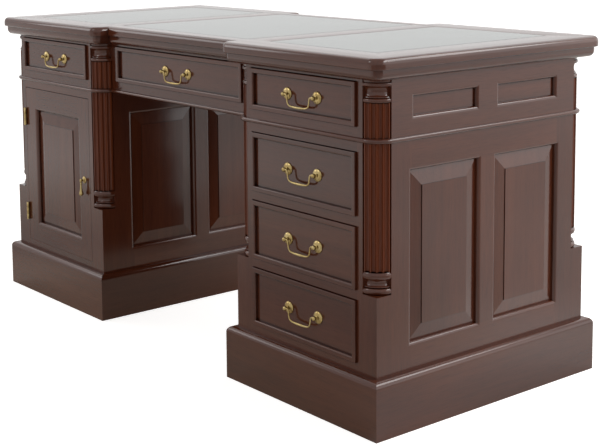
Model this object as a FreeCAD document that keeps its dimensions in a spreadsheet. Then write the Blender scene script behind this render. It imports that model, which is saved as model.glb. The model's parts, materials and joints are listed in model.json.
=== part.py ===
"""Mahogany partners desk: two pedestals, a breakfront frieze with six drawers, a leather-lined top.

Frame: +X is the sitter's right at the front, the front faces -Y, +Z is up, in millimetres.
The origin is on the floor under the middle of the desk.
The back is the front turned half a turn about Z, so each partner has a cupboard on the left
and three drawers on the right, under three frieze drawers.
"""
import FreeCAD, Part
import math
import os
import re

import Sketcher

# Driving dimensions -----------------------------------------------------------------------------

DIMENSIONS = {
    # the desk as a whole
    "desk_length": 1550.0,
    "desk_depth": 710.0,
    "kneehole_width": 582.0,
    "column_notch": 41.0,
    # top board, its leathers and the moulding under it
    "board_thickness": 24.0,
    "board_overhang": 27.5,
    "board_round_over": 10.0,
    "board_bevel_under": 4.5,
    "leather_thickness": 2.0,
    "leather_end_border": 91.0,
    "leather_side_border": 87.0,
    "leather_gap": 78.0,
    "leather_middle_width": 524.0,
    "leather_corner": 9.0,
    "apron_height": 23.0,
    "apron_overhang": 19.0,
    "apron_round": 14.0,
    # frieze
    "frieze_rail": 30.5,
    "frieze_opening": 94.0,
    "top_rail": 28.0,
    "middle_stile": 24.0,
    "bead_height": 10.0,
    "bead_proud": 6.0,
    "bead_round": 4.9,
    "small_panel_foot": 42.5,
    "small_panel_height": 54.0,
    "small_panel_sink": 8.5,
    "soffit_board": 12.5,
    # carcase
    "case_board": 21.0,
    "post_width": 16.25,
    "block_height": 170.0,
    "base_rail": 20.0,
    "drawer_rail": 20.0,
    "head_rail": 19.5,
    "drawer_opening": 134.0,
    "side_stile": 57.5,
    "side_muntin": 56.0,
    "side_foot_rail": 58.0,
    "side_head_rail": 63.5,
    "sticking": 8.0,
    "inner_board": 18.0,
    "partition": 12.0,
    "runner_bearing": 24.0,
    "runner_height": 18.0,
    "guide_height": 22.0,
    "dust_board": 6.0,
    "shelf_height": 213.0,
    "shelf_setback": 12.0,
    "bearer_width": 20.0,
    # plinth
    "plinth_height": 122.0,
    "plinth_proud": 20.0,
    "plinth_board": 30.0,
    "plinth_round": 13.0,
    # raised and fielded panels
    "panel_rebate": 6.0,
    "panel_rebate_depth": 10.0,
    "panel_clearance": 0.4,
    "panel_back_depth": 18.0,
    "panel_bevel_width": 33.5,
    "panel_bevel_depth": 5.0,
    "panel_field_depth": 3.0,
    # drawers
    "front_thickness": 24.0,
    "rim_proud": 6.0,
    "rim_flat": 8.0,
    "rim_round": 3.5,
    "rim_depth": 8.0,
    "rim_ease": 0.9,
    "front_gap_side": 1.0,
    "front_gap_under": 0.5,
    "front_gap_over": 1.5,
    "drawer_board": 10.0,
    "drawer_bottom": 6.0,
    "drawer_bottom_lift": 12.0,
    "drawer_side_drop": 10.0,
    "drawer_side_gap": 1.5,
    "drawer_back_space": 8.0,
    # cupboard doors
    "door_thickness": 20.0,
    "door_stile": 58.0,
    "door_foot_rail": 57.0,
    "door_head_rail": 62.0,
    # swan-neck pulls
    "pull_spacing": 96.0,
    "pull_reach": 12.0,
    "pull_inset": 11.0,
    "pull_drop": 25.0,
    "rose_radius": 13.0,
    "rose_thickness": 2.0,
    "post_radius": 3.0,
    "knob_radius": 5.2,
    "bail_radius": 2.2,
    "bail_end": 2.5,
    "bail_bend": 8.0,
    "bail_shoulder": 4.0,
    "bail_clearance": 0.05,
    # fluted quarter columns
    "column_radius": 39.5,
    "column_ring": 41.0,
    "column_neck": 35.0,
    "flute_radius": 5.4,
    "flute_lift": 0.5,
    "flute_wrap": 3.5,
    "foot_torus": 14.0,
    "foot_scotia": 16.0,
    "foot_band": 18.0,
    "head_band": 9.0,
    "head_neck": 10.0,
    "head_astragal": 4.0,
    "head_abacus": 9.0,
    "head_cap": 5.5,
    "torus_bulge": 5.5,
    "ring_ease": 1.5,
    # butt hinges and drop pulls of the doors
    "hinge_length": 50.0,
    "hinge_low": 82.0,
    "hinge_high": 357.0,
    "knuckle_radius": 4.0,
    "knuckle_proud": 4.3,
    "knuckle_gap": 0.4,
    "hinge_pin_radius": 1.6,
    "hinge_pin_clearance": 0.05,
    "hinge_leaf": 1.6,
    "hinge_leaf_width": 15.0,
    "hinge_leaf_root": 2.2,
    "drop_from_edge": 29.0,
    "drop_height": 218.5,
    "drop_reach": 11.0,
    "drop_rose_radius": 9.5,
    "drop_ear": 2.0,
    "drop_eye_radius": 3.4,
    "drop_eye_width": 4.0,
    "drop_eye_gap": 0.3,
    "drop_pin_radius": 1.2,
    "drop_pin_clearance": 0.05,
    "drop_length": 44.0,
    "drop_bulb_radius": 6.0,
    "drop_waist_radius": 2.2,
}

# Places that follow from them, as expressions ----------------------------------------------------

BODY_X = "(desk_length / 2 - board_overhang)"
BODY_Y = "(desk_depth / 2 - board_overhang)"
KNEE_X = "(kneehole_width / 2)"
RECESS_Y = f"({BODY_Y} - column_notch)"
POST_IN = f"({KNEE_X} + column_notch)"
POST_OUT = f"({BODY_X} - column_notch)"
OPEN_IN = f"({POST_IN} + post_width)"
OPEN_OUT = f"({POST_OUT} - post_width)"
OPEN_WIDTH = f"({OPEN_OUT} - {OPEN_IN})"
PEDESTAL_X = f"(({KNEE_X} + {BODY_X}) / 2)"
MIDDLE_OPEN = f"({KNEE_X} - middle_stile)"
CASE_IN = f"({KNEE_X} + case_board)"
CASE_OUT = f"({BODY_X} - case_board)"
INNER_Y = f"({RECESS_Y} - case_board)"
PARTITION_Y = "(partition / 2)"

DRAWER_PITCH = "(drawer_opening + drawer_rail)"
CASE_Z = "plinth_height"
OPEN_Z = f"({CASE_Z} + base_rail)"
OPEN_HEIGHT = "(3 * drawer_opening + 2 * drawer_rail)"
OPEN_TOP = f"({OPEN_Z} + {OPEN_HEIGHT})"
CASE_TOP = f"({OPEN_TOP} + head_rail)"
FRIEZE_OPEN_Z = f"({CASE_TOP} + frieze_rail)"
FRIEZE_TOP = f"({FRIEZE_OPEN_Z} + frieze_opening)"
BOARD_Z = f"({FRIEZE_TOP} + top_rail)"
BOARD_TOP = f"({BOARD_Z} + board_thickness)"
APRON_Z = f"({BOARD_Z} - apron_height)"

SIDE_LENGTH = f"(2 * {RECESS_Y})"
SIDE_HEIGHT = f"({CASE_TOP} - {CASE_Z})"
WINDOW_WIDTH = f"(({SIDE_LENGTH} - 2 * side_stile - side_muntin) / 2)"
WINDOW_HEIGHT = f"({SIDE_HEIGHT} - side_foot_rail - side_head_rail)"
WINDOW_X = f"((side_muntin + {WINDOW_WIDTH}) / 2)"

DOOR_WIDTH = f"({OPEN_WIDTH} - 2 * front_gap_side)"
DOOR_HEIGHT = f"({OPEN_HEIGHT} - front_gap_under - front_gap_over)"
DOOR_WINDOW_WIDTH = f"({DOOR_WIDTH} - 2 * door_stile)"
DOOR_WINDOW_HEIGHT = f"({DOOR_HEIGHT} - door_foot_rail - door_head_rail)"
DOOR_Y = f"({BODY_Y} - door_thickness)"
DOOR_Z = f"({OPEN_Z} + front_gap_under)"

FRONT_BACK = "(front_thickness - rim_proud)"
FIELD_Y = "(rim_depth - rim_proud)"

FOOT_HEIGHT = "(foot_torus + foot_scotia + foot_band)"
HEAD_HEIGHT = "(head_band + 2 * head_neck + head_astragal + head_abacus + head_cap)"

HINGE_X = f"({OPEN_OUT} - front_gap_side / 2)"
HINGE_Y = f"({BODY_Y} + knuckle_proud)"

Z_AXIS = FreeCAD.Vector(0, 0, 1)
QUARTER_TURN = 90.0
HALF_TURN = 180.0
FLUTES = 6
FLUTE_SIDES = 8
BAR_SIDES = 8
ROSE_SIDES = 12

doc = FreeCAD.newDocument("PartnersDesk")
sheet = doc.addObject("Spreadsheet::Sheet", "Dimensions")
for row, (alias, size) in enumerate(DIMENSIONS.items(), start=1):
    sheet.set(f"A{row}", alias)
    sheet.set(f"B{row}", str(size))
    sheet.setAlias(f"B{row}", alias)
doc.recompute()

ALIAS = re.compile(r"\b(" + "|".join(DIMENSIONS) + r")\b")


def bind(item, path, expression):
    """Tie a property to an expression written with the sheet's aliases."""
    item.setExpression(path, ALIAS.sub(r"Dimensions.\1", expression))


def place(item, x="0", y="0", z="0", turn=0.0):
    """Turn an object about Z by a fixed angle and tie its position to the sheet."""
    item.Placement = FreeCAD.Placement(FreeCAD.Vector(), FreeCAD.Rotation(Z_AXIS, turn))
    bind(item, "Placement.Base.x", x)
    bind(item, "Placement.Base.y", y)
    bind(item, "Placement.Base.z", z)
    return item


def near(a, b):
    return abs(a - b) < 1e-4


# Boards, bars and groups ------------------------------------------------------------------------

def board(label, x, y, z):
    """A rectangular board between a low and a high expression on each axis."""
    box = doc.addObject("Part::Box", label)
    for path, (low, high) in zip(("Length", "Width", "Height"), (x, y, z)):
        bind(box, path, f"({high}) - ({low})")
    return place(box, x[0], y[0], z[0])


def span(sign, low, high):
    """A range on the positive side of an axis, or its mirror image."""
    if sign > 0:
        return low, high
    return f"-{high}", f"-{low}"


def cut(label, base, tool):
    result = doc.addObject("Part::Cut", label)
    result.Base = base
    result.Tool = tool
    return result


def common(label, base, tool):
    result = doc.addObject("Part::Common", label)
    result.Base = base
    result.Tool = tool
    return result


def fuse(label, pieces):
    result = doc.addObject("Part::MultiFuse", label)
    result.Shapes = pieces
    return result


def group(label, pieces, x="0", y="0", z="0", turn=0.0):
    """Several pieces kept as separate solids and placed together."""
    compound = doc.addObject("Part::Compound", label)
    compound.Links = pieces
    return place(compound, x, y, z, turn)


def mirrored(label, source, normal):
    mirror = doc.addObject("Part::Mirroring", label)
    mirror.Source = source
    mirror.Normal = FreeCAD.Vector(*normal)
    return mirror


# Sketches and features --------------------------------------------------------------------------

def new_body(label):
    return doc.addObject("PartDesign::Body", label)


def sketch_on(body, name, role, offset="0"):
    """An empty sketch on one of the body's origin planes, set off along its normal."""
    sketch = body.newObject("Sketcher::SketchObject", name)
    plane = next(item for item in body.Origin.OriginFeatures if item.Role == role)
    sketch.AttachmentSupport = [(plane, "")]
    sketch.MapMode = "FlatFace"
    bind(sketch, "AttachmentOffset.Base.z", offset)
    return sketch


def fix_point(sketch, geometry, point, x, y):
    """Hold a point of the sketch at two expressions measured from the origin."""
    for kind, expression in (("DistanceX", x), ("DistanceY", y)):
        index = sketch.addConstraint(Sketcher.Constraint(kind, -1, 1, geometry, point, 0.0))
        bind(sketch, f"Constraints[{index}]", expression)


def add_lines(sketch, points, closed=True):
    """Straight lines through points given as pairs of expressions."""
    count = len(points)
    start = [
        FreeCAD.Vector(
            50 * math.cos(2 * math.pi * k / count), 50 * math.sin(2 * math.pi * k / count), 0)
        for k in range(count)
    ]
    lines = count if closed else count - 1
    for k in range(lines):
        sketch.addGeometry(Part.LineSegment(start[k], start[(k + 1) % count]))
    for k in range(lines if closed else lines - 1):
        sketch.addConstraint(Sketcher.Constraint("Coincident", k, 2, (k + 1) % lines, 1))
    for k in range(lines):
        fix_point(sketch, k, 1, *points[k])
    if not closed:
        fix_point(sketch, lines - 1, 2, *points[-1])


def outline(body, name, role, points, offset="0"):
    sketch = sketch_on(body, name, role, offset)
    add_lines(sketch, points)
    return sketch


def rectangle(width, low, high, x="0"):
    """Corners of a rectangle of a given width centred on x, between two heights."""
    left = f"{x} - {width} / 2"
    right = f"{x} + {width} / 2"
    return [(left, low), (right, low), (right, high), (left, high)]


def ring_of_points(radius, sides):
    """Corners of a regular polygon round the origin, with a flat at the right."""
    turn = 360 / sides
    return [
        (f"{radius} * cos({(k + 0.5) * turn})", f"{radius} * sin({(k + 0.5) * turn})")
        for k in range(sides)
    ]


def pad(body, name, sketch, length):
    feature = body.newObject("PartDesign::Pad", name)
    feature.Profile = sketch
    bind(feature, "Length", length)
    return feature


def pocket(body, name, sketch, depth):
    """Cut into the solid, and make sure that the cut removed something."""
    doc.recompute()
    before = body.Shape.Volume
    feature = body.newObject("PartDesign::Pocket", name)
    feature.Profile = sketch
    bind(feature, "Length", depth)
    doc.recompute()
    if not body.Shape.Volume < before - 1e-6:
        raise ValueError(f"{name} cuts nothing")
    return feature


def fillet(body, name, radius, chosen):
    """Round the edges of the tip that pass the test, which gets an edge's box and the solid's."""
    doc.recompute()
    tip = body.Tip
    solid = tip.Shape
    feature = body.newObject("PartDesign::Fillet", name)
    feature.Base = (tip, [
        f"Edge{number}"
        for number, edge in enumerate(solid.Edges, start=1)
        if chosen(edge.BoundBox, solid.BoundBox)
    ])
    bind(feature, "Radius", radius)
    return feature


def chamfer(body, name, size, chosen):
    """Bevel the edges of the tip that pass the test."""
    doc.recompute()
    tip = body.Tip
    solid = tip.Shape
    feature = body.newObject("PartDesign::Chamfer", name)
    feature.Base = (tip, [
        f"Edge{number}"
        for number, edge in enumerate(solid.Edges, start=1)
        if chosen(edge.BoundBox, solid.BoundBox)
    ])
    bind(feature, "Size", size)
    return feature


def prism(body, name, role, radius, sides, low, high):
    """Add a regular prism along the plane's normal between two offsets."""
    section = outline(body, f"{name}Section", role, ring_of_points(radius, sides), low)
    return pad(body, f"{name}Pad", section, f"({high}) - ({low})")


def bar(label, radius, z):
    """An upright bar of small brasswork on the Z axis, its arrises on the radius."""
    body = new_body(label)
    prism(body, label, "XY_Plane", radius, BAR_SIDES, *z)
    return body


def cross_bar(label, radius, x, y="0"):
    """A bar of small brasswork along X, its arrises on the radius."""
    body = new_body(label)
    prism(body, label, "YZ_Plane", radius, BAR_SIDES, *x)
    return place(body, y=y)


def clearing(radius):
    """The arris radius of a bore whose flats clear a bar of a given radius."""
    return f"({radius}) / cos({180 / BAR_SIDES})"


def half_round(radius, low, high, bulge):
    """Profile points of a torus-like moulding that stands out to a radius between two heights."""
    middle = f"(({low}) + ({high})) / 2"
    half = f"(({high}) - ({low})) / 2"
    return [
        (f"{radius} - {bulge} + {bulge} * cos({angle})", f"{middle} + {half} * sin({angle})")
        for angle in (-90, -45, 0, 45, 90)
    ]


def quarter_round(radius, height, size):
    """Profile points that round the lower arris of a moulding of a given radius."""
    return [
        (f"{radius} - {size} + {size} * cos({angle})", f"{height} + {size} + {size} * sin({angle})")
        for angle in (-90, -60, -30, 0)
    ]


def eased_band(radius, low, high, ease):
    """Profile points of a square band with bevelled arrises."""
    return [
        (f"{radius} - {ease}", low), (radius, f"{low} + {ease}"),
        (radius, f"{high} - {ease}"), (f"{radius} - {ease}", high),
    ]


def turned(name, profile):
    """A quarter of a turned solid in the +X +Y quadrant, from a profile of radii and heights."""
    body = new_body(name)
    sketch = outline(body, f"{name}Profile", "XZ_Plane", profile)
    feature = body.newObject("PartDesign::Revolution", f"{name}Turning")
    feature.Profile = sketch
    feature.ReferenceAxis = (sketch, ["V_Axis"])
    feature.Angle = QUARTER_TURN
    return body


# Top board and leathers -------------------------------------------------------------------------

LEATHER_HALF = "(desk_depth / 2 - leather_side_border)"
LEATHER_IN = "(leather_middle_width / 2 + leather_gap)"
LEATHER_OUT = "(desk_length / 2 - leather_end_border)"
LEATHER_SPAN = f"({LEATHER_OUT} - {LEATHER_IN})"
LEATHER_X = f"(({LEATHER_OUT} + {LEATHER_IN}) / 2)"
LEATHERS = {
    "Left": (LEATHER_SPAN, f"-{LEATHER_X}"),
    "Middle": ("leather_middle_width", "0"),
    "Right": (LEATHER_SPAN, LEATHER_X),
}


def breakfront(overhang):
    """The desk's plan set out by an overhang: two deep ends joined by a shallower middle."""
    end = f"({BODY_X} + {overhang})"
    inner = f"({KNEE_X} - {overhang})"
    deep = f"({BODY_Y} + {overhang})"
    shallow = f"({RECESS_Y} + {overhang})"
    front = [
        (f"-{end}", f"-{deep}"), (f"-{inner}", f"-{deep}"), (f"-{inner}", f"-{shallow}"),
        (inner, f"-{shallow}"), (inner, f"-{deep}"), (end, f"-{deep}"),
    ]
    back = [
        (end, deep), (inner, deep), (inner, shallow),
        (f"-{inner}", shallow), (f"-{inner}", deep), (f"-{end}", deep),
    ]
    return front + back


def top_board():
    body = new_body("TopBoard")
    plan = outline(body, "TopBoardPlan", "XY_Plane", breakfront("board_overhang"), BOARD_Z)
    pad(body, "TopBoardPad", plan, "board_thickness")
    fillet(body, "TopBoardCorners", "board_overhang", lambda edge, solid: (
        edge.ZLength > 1 and near(max(abs(edge.YMin), abs(edge.YMax)), solid.YMax)))
    fillet(body, "TopBoardOver", "board_round_over", lambda edge, solid: (
        near(edge.ZMin, solid.ZMax)))
    chamfer(body, "TopBoardUnder", "board_bevel_under", lambda edge, solid: (
        near(edge.ZMax, solid.ZMin)))
    for side, (width, x) in LEATHERS.items():
        bed = outline(
            body, f"{side}Bed", "XY_Plane",
            rectangle(width, f"-{LEATHER_HALF}", LEATHER_HALF, x), BOARD_TOP)
        pocket(body, f"{side}Recess", bed, "leather_thickness")
    fillet(body, "BedCorners", "leather_corner", lambda edge, solid: (
        near(edge.XMin, edge.XMax) and near(edge.YMin, edge.YMax)
        and near(edge.ZMax, solid.ZMax)))
    return group("top_board", [body])


def writing_leathers():
    skins = []
    for side, (width, x) in LEATHERS.items():
        body = new_body(f"{side}Leather")
        plan = outline(
            body, f"{side}LeatherPlan", "XY_Plane",
            rectangle(width, f"-{LEATHER_HALF}", LEATHER_HALF, x),
            f"{BOARD_TOP} - leather_thickness")
        pad(body, f"{side}LeatherPad", plan, "leather_thickness")
        fillet(body, f"{side}LeatherCorners", "leather_corner", lambda edge, solid: (
            near(edge.XMin, edge.XMax) and near(edge.YMin, edge.YMax)))
        skins.append(body)
    return group("writing_leathers", skins)


# Mouldings --------------------------------------------------------------------------------------

def moulding(name, plan, z, height, radius, chosen):
    """A length of moulding from its plan, with the chosen arrises rounded."""
    body = new_body(name)
    sketch = outline(body, f"{name}Plan", "XY_Plane", plan, z)
    pad(body, f"{name}Pad", sketch, height)
    fillet(body, f"{name}Round", radius, chosen)
    return body


def strip(x, y):
    """Plan corners of a straight strip."""
    return [(x[0], y[0]), (x[1], y[0]), (x[1], y[1]), (x[0], y[1])]


def low_front(edge, solid):
    return near(edge.ZMax, solid.ZMin) and near(edge.YMax, solid.YMin)


def low_right(edge, solid):
    return near(edge.ZMax, solid.ZMin) and near(edge.XMin, solid.XMax)


def low_left(edge, solid):
    return near(edge.ZMax, solid.ZMin) and near(edge.XMax, solid.XMin)


def both_front(edge, solid):
    return near(edge.YMax, solid.YMin) and edge.XLength > 1


def both_right(edge, solid):
    return near(edge.XMin, solid.XMax) and edge.YLength > 1


def top_front(edge, solid):
    return near(edge.ZMin, solid.ZMax) and near(edge.YMax, solid.YMin)


def top_right(edge, solid):
    return near(edge.ZMin, solid.ZMax) and near(edge.XMin, solid.XMax)


def top_left(edge, solid):
    return near(edge.ZMin, solid.ZMax) and near(edge.XMax, solid.XMin)


def all_round(label, front, end):
    """Repeat a front half, and a right-hand end, on the other side of the desk."""
    both = group(f"{label}Half", front + [end])
    return [both, group(f"{label}OtherHalf", [both], turn=HALF_TURN)]


def apron_moulding():
    """Ovolo moulding under the top, mitred in the breaks and turned round the corners."""
    out_x = f"({BODY_X} + apron_overhang)"
    out_y = f"({BODY_Y} + apron_overhang)"
    in_x = f"({KNEE_X} - apron_overhang)"
    in_y = f"({RECESS_Y} + apron_overhang)"
    size = (APRON_Z, "apron_height", "apron_round")
    end = moulding("ApronEnd", strip((BODY_X, out_x), (f"-{BODY_Y}", BODY_Y)), *size, low_right)
    front = moulding(
        "ApronFront", strip((KNEE_X, BODY_X), (f"-{out_y}", f"-{BODY_Y}")), *size, low_front)
    side = moulding("ApronReturn", [
        (in_x, f"-{BODY_Y}"), (KNEE_X, f"-{BODY_Y}"), (KNEE_X, f"-{RECESS_Y}"),
        (in_x, f"-{in_y}")], *size, low_left)
    middle = moulding("ApronMiddle", [
        (f"-{in_x}", f"-{in_y}"), (in_x, f"-{in_y}"), (KNEE_X, f"-{RECESS_Y}"),
        (f"-{KNEE_X}", f"-{RECESS_Y}")], *size, low_front)
    corner = turned(
        "ApronCorner", [("0", "0")] + quarter_round("apron_overhang", "0", "apron_round")
        + [("apron_overhang", "apron_height"), ("0", "apron_height")])
    outer = group("ApronOuter", [corner], BODY_X, f"-{BODY_Y}", APRON_Z, -QUARTER_TURN)
    inner = group("ApronInner", [corner], KNEE_X, f"-{BODY_Y}", APRON_Z, HALF_TURN)
    right = group("ApronRight", [front, side, outer, inner])
    left = mirrored("ApronLeft", right, (1, 0, 0))
    return group("apron_moulding", all_round("Apron", [right, left, middle], end))


def frieze_bead():
    """A half-round bead round the foot of the frieze; it bows out round each column."""
    out_x = f"({BODY_X} + bead_proud)"
    out_y = f"({BODY_Y} + bead_proud)"
    rim_x = f"({KNEE_X} - bead_proud)"
    rim_y = f"({RECESS_Y} + bead_proud)"
    size = (CASE_TOP, "bead_height", "bead_round")
    end = moulding("BeadEnd", strip((BODY_X, out_x), (f"-{RECESS_Y}", RECESS_Y)), *size, both_right)
    front = moulding(
        "BeadFront", strip((POST_IN, POST_OUT), (f"-{out_y}", f"-{BODY_Y}")), *size, both_front)
    middle = moulding(
        "BeadMiddle", strip((f"-{rim_x}", rim_x), (f"-{rim_y}", f"-{RECESS_Y}")),
        *size, both_front)
    bow = turned("BeadBow", [("column_notch", "0")] + half_round(
        "(column_notch + bead_proud)", "0", "bead_height", "bead_round")
        + [("column_notch", "bead_height")])
    outer = group("BeadOuter", [bow], POST_OUT, f"-{RECESS_Y}", CASE_TOP, -QUARTER_TURN)
    inner = group("BeadInner", [bow], POST_IN, f"-{RECESS_Y}", CASE_TOP, HALF_TURN)
    right = group("BeadRight", [front, outer, inner])
    left = mirrored("BeadLeft", right, (1, 0, 0))
    return group("frieze_bead", all_round("Bead", [right, left, middle], end))


def plinth():
    """Four mitred boards with an ovolo on the top outer arris; the carcase stands on them."""
    x0 = f"({KNEE_X} - plinth_proud)"
    x1 = f"({BODY_X} + plinth_proud)"
    y1 = f"({BODY_Y} + plinth_proud)"
    x2 = f"({x0} + plinth_board)"
    x3 = f"({x1} - plinth_board)"
    y2 = f"({y1} - plinth_board)"
    size = ("0", "plinth_height", "plinth_round")
    front = moulding("PlinthFront", [
        (x0, f"-{y1}"), (x1, f"-{y1}"), (x3, f"-{y2}"), (x2, f"-{y2}")], *size, top_front)
    outer = moulding("PlinthOuter", [
        (x1, f"-{y1}"), (x1, y1), (x3, y2), (x3, f"-{y2}")], *size, top_right)
    inner = moulding("PlinthInner", [
        (x0, f"-{y1}"), (x2, f"-{y2}"), (x2, y2), (x0, y1)], *size, top_left)
    back = mirrored("PlinthBack", front, (0, 1, 0))
    return [front, back, outer, inner]


# Fluted quarter columns -------------------------------------------------------------------------

def shaft(name, height):
    """A quarter-round shaft; six hollow flutes leave five fillets between them."""
    body = turned(name, [
        ("0", "0"), ("column_radius", "0"), ("column_radius", height), ("0", height)])
    middle = "(column_radius + flute_lift)"
    corners = [f"({(k + 0.5) * 360 / FLUTE_SIDES} - flute_wrap)" for k in range(FLUTE_SIDES)]
    plan = outline(body, f"{name}FlutePlan", "XY_Plane", [
        (f"{middle} * cos(-flute_wrap) + flute_radius * cos({corner})",
         f"{middle} * sin(-flute_wrap) + flute_radius * sin({corner})")
        for corner in corners
    ], height)
    flute = pocket(body, f"{name}Flute", plan, height)
    flutes = body.newObject("PartDesign::PolarPattern", f"{name}Flutes")
    flutes.Originals = [flute]
    flutes.Axis = (plan, ["N_Axis"])
    bind(flutes, "Angle", "90 + 2 * flute_wrap")
    flutes.Occurrences = FLUTES
    body.Tip = flutes
    doc.recompute()
    if len(flutes.Shape.Faces) < 4 + FLUTES:
        raise ValueError(f"{name} lost a flute")
    return body


def column_foot():
    """Torus, scotia and band."""
    neck = "column_neck"
    band = "(foot_torus + foot_scotia)"
    return turned(
        "ColumnFoot",
        [("0", "0")] + half_round("column_ring", "0", "foot_torus", "torus_bulge")
        + [(neck, "foot_torus + ring_ease"), (neck, f"{band} - 2 * ring_ease")]
        + eased_band("column_ring", band, FOOT_HEIGHT, "ring_ease") + [("0", FOOT_HEIGHT)])


def column_head():
    """Band, neck with an astragal, abacus and cap."""
    astragal = "(head_band + head_neck)"
    neck_top = f"({astragal} + head_astragal)"
    abacus = f"({neck_top} + head_neck)"
    cap = f"({abacus} + head_abacus)"
    return turned(
        "ColumnHead",
        [("0", "0")] + eased_band("column_ring", "0", "head_band", "ring_ease")
        + [("column_neck", "head_band + 2 * ring_ease"), ("column_neck", astragal),
           ("column_radius", astragal), ("column_radius", neck_top),
           ("column_neck", neck_top), ("column_neck", f"{abacus} - 2 * ring_ease")]
        + eased_band("column_ring", abacus, cap, "ring_ease")
        + [("column_ring - ring_ease", HEAD_HEIGHT), ("0", HEAD_HEIGHT)])


def corner_columns(label, parts, signs):
    """Stand a column in each notch of the pedestals on the given sides of the desk."""
    places = []
    for sign in signs:
        for front in (1, -1):
            for x, outer in ((POST_OUT, 1), (POST_IN, -1)):
                turn = {(1, 1): 0.0, (-1, 1): 90.0, (-1, -1): 180.0, (1, -1): -90.0}
                places.append(group(
                    f"{label}{len(places) + 1}", parts, f"{sign} * {x}", f"{front} * {RECESS_Y}",
                    turn=turn[(sign * outer, front)]))
    return places


# Framed sides and doors -------------------------------------------------------------------------

def inside_face(edge, solid):
    """Edges on the outer face of a board that don't lie on its rim."""
    return (
        near(edge.YMax, solid.YMin)
        and edge.XMin > solid.XMin + 1 and edge.XMax < solid.XMax - 1
        and edge.ZMin > solid.ZMin + 1 and edge.ZMax < solid.ZMax - 1)


def moulded_frame(name, width, height, thickness, windows, window_size, foot):
    """A frame with its outer face towards -Y, its windows stuck with an ovolo and rebated."""
    body = new_body(name)
    blank = outline(body, f"{name}Blank", "XZ_Plane", rectangle(width, "0", height))
    pad(body, f"{name}Pad", blank, thickness)
    window_width, window_height = window_size
    rebate = f"({window_width} + 2 * panel_rebate)"
    for k, x in enumerate(windows):
        sight = outline(
            body, f"{name}Sight{k}", "XZ_Plane",
            rectangle(window_width, foot, f"{foot} + {window_height}", x), thickness)
        pocket(body, f"{name}Window{k}", sight, thickness)
        step = outline(
            body, f"{name}Step{k}", "XZ_Plane",
            rectangle(rebate, f"{foot} - panel_rebate",
                      f"{foot} + {window_height} + panel_rebate", x),
            f"{thickness} - panel_rebate_depth")
        pocket(body, f"{name}Rebate{k}", step, f"{thickness} - panel_rebate_depth")
    fillet(body, f"{name}Sticking", "sticking", inside_face)
    return body


def frame_members(name, body, width, height, thickness, stile, foot, head, muntin=None):
    """The frame as its joiner makes it: stiles, rails between them and a muntin."""
    y = (f"-{thickness}", "0")
    half = f"{width} / 2"
    inner = f"({half} - {stile})"
    top = f"({height} - {head})"
    pieces = {
        "LeftStile": ((f"-{half}", f"-{inner}"), ("0", height)),
        "RightStile": ((inner, half), ("0", height)),
        "FootRail": ((f"-{inner}", inner), ("0", foot)),
        "HeadRail": ((f"-{inner}", inner), (top, height)),
    }
    if muntin:
        pieces["Muntin"] = ((f"-{muntin} / 2", f"{muntin} / 2"), (foot, top))
    return {
        part: common(f"{name}{part}", body, board(f"{name}{part}Extent", x, y, z))
        for part, (x, z) in pieces.items()
    }


def raised_panel(name, window_size, foot, thickness, x="0"):
    """A panel held in the rebate by its edge, bevelled up to a raised field."""
    width, height = window_size

    def extent(spread):
        across = (f"{x} - {width} / 2 - {spread}", f"{x} + {width} / 2 + {spread}")
        upright = (f"{foot} - {spread}", f"{foot} + {height} + {spread}")
        return across, upright

    def level(depth):
        return f"{depth} - {thickness}"

    edge_x, edge_z = extent("(panel_rebate - panel_clearance)")
    field_x, field_z = extent("(-panel_bevel_width)")
    sight_x, sight_z = extent("0")
    tongue = board(
        f"{name}Tongue", edge_x, (level("panel_rebate_depth"), level("panel_back_depth")), edge_z)
    field = board(
        f"{name}Field", field_x, (level("panel_field_depth"), level("panel_rebate_depth")),
        field_z)
    bevel = doc.addObject("Part::Wedge", f"{name}Bevel")
    for path, value in (
        ("Xmin", field_x[0]), ("Xmax", field_x[1]), ("Zmin", field_z[0]), ("Zmax", field_z[1]),
        ("X2min", sight_x[0]), ("X2max", sight_x[1]), ("Z2min", sight_z[0]),
        ("Z2max", sight_z[1]),
        ("Ymin", level("panel_bevel_depth")), ("Ymax", level("panel_rebate_depth")),
    ):
        bind(bevel, path, value)
    panel = fuse(name, [tongue, bevel, field])
    panel.Refine = True
    return panel


SIDE_WINDOW = (WINDOW_WIDTH, WINDOW_HEIGHT)
DOOR_WINDOW = (DOOR_WINDOW_WIDTH, DOOR_WINDOW_HEIGHT)


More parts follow.
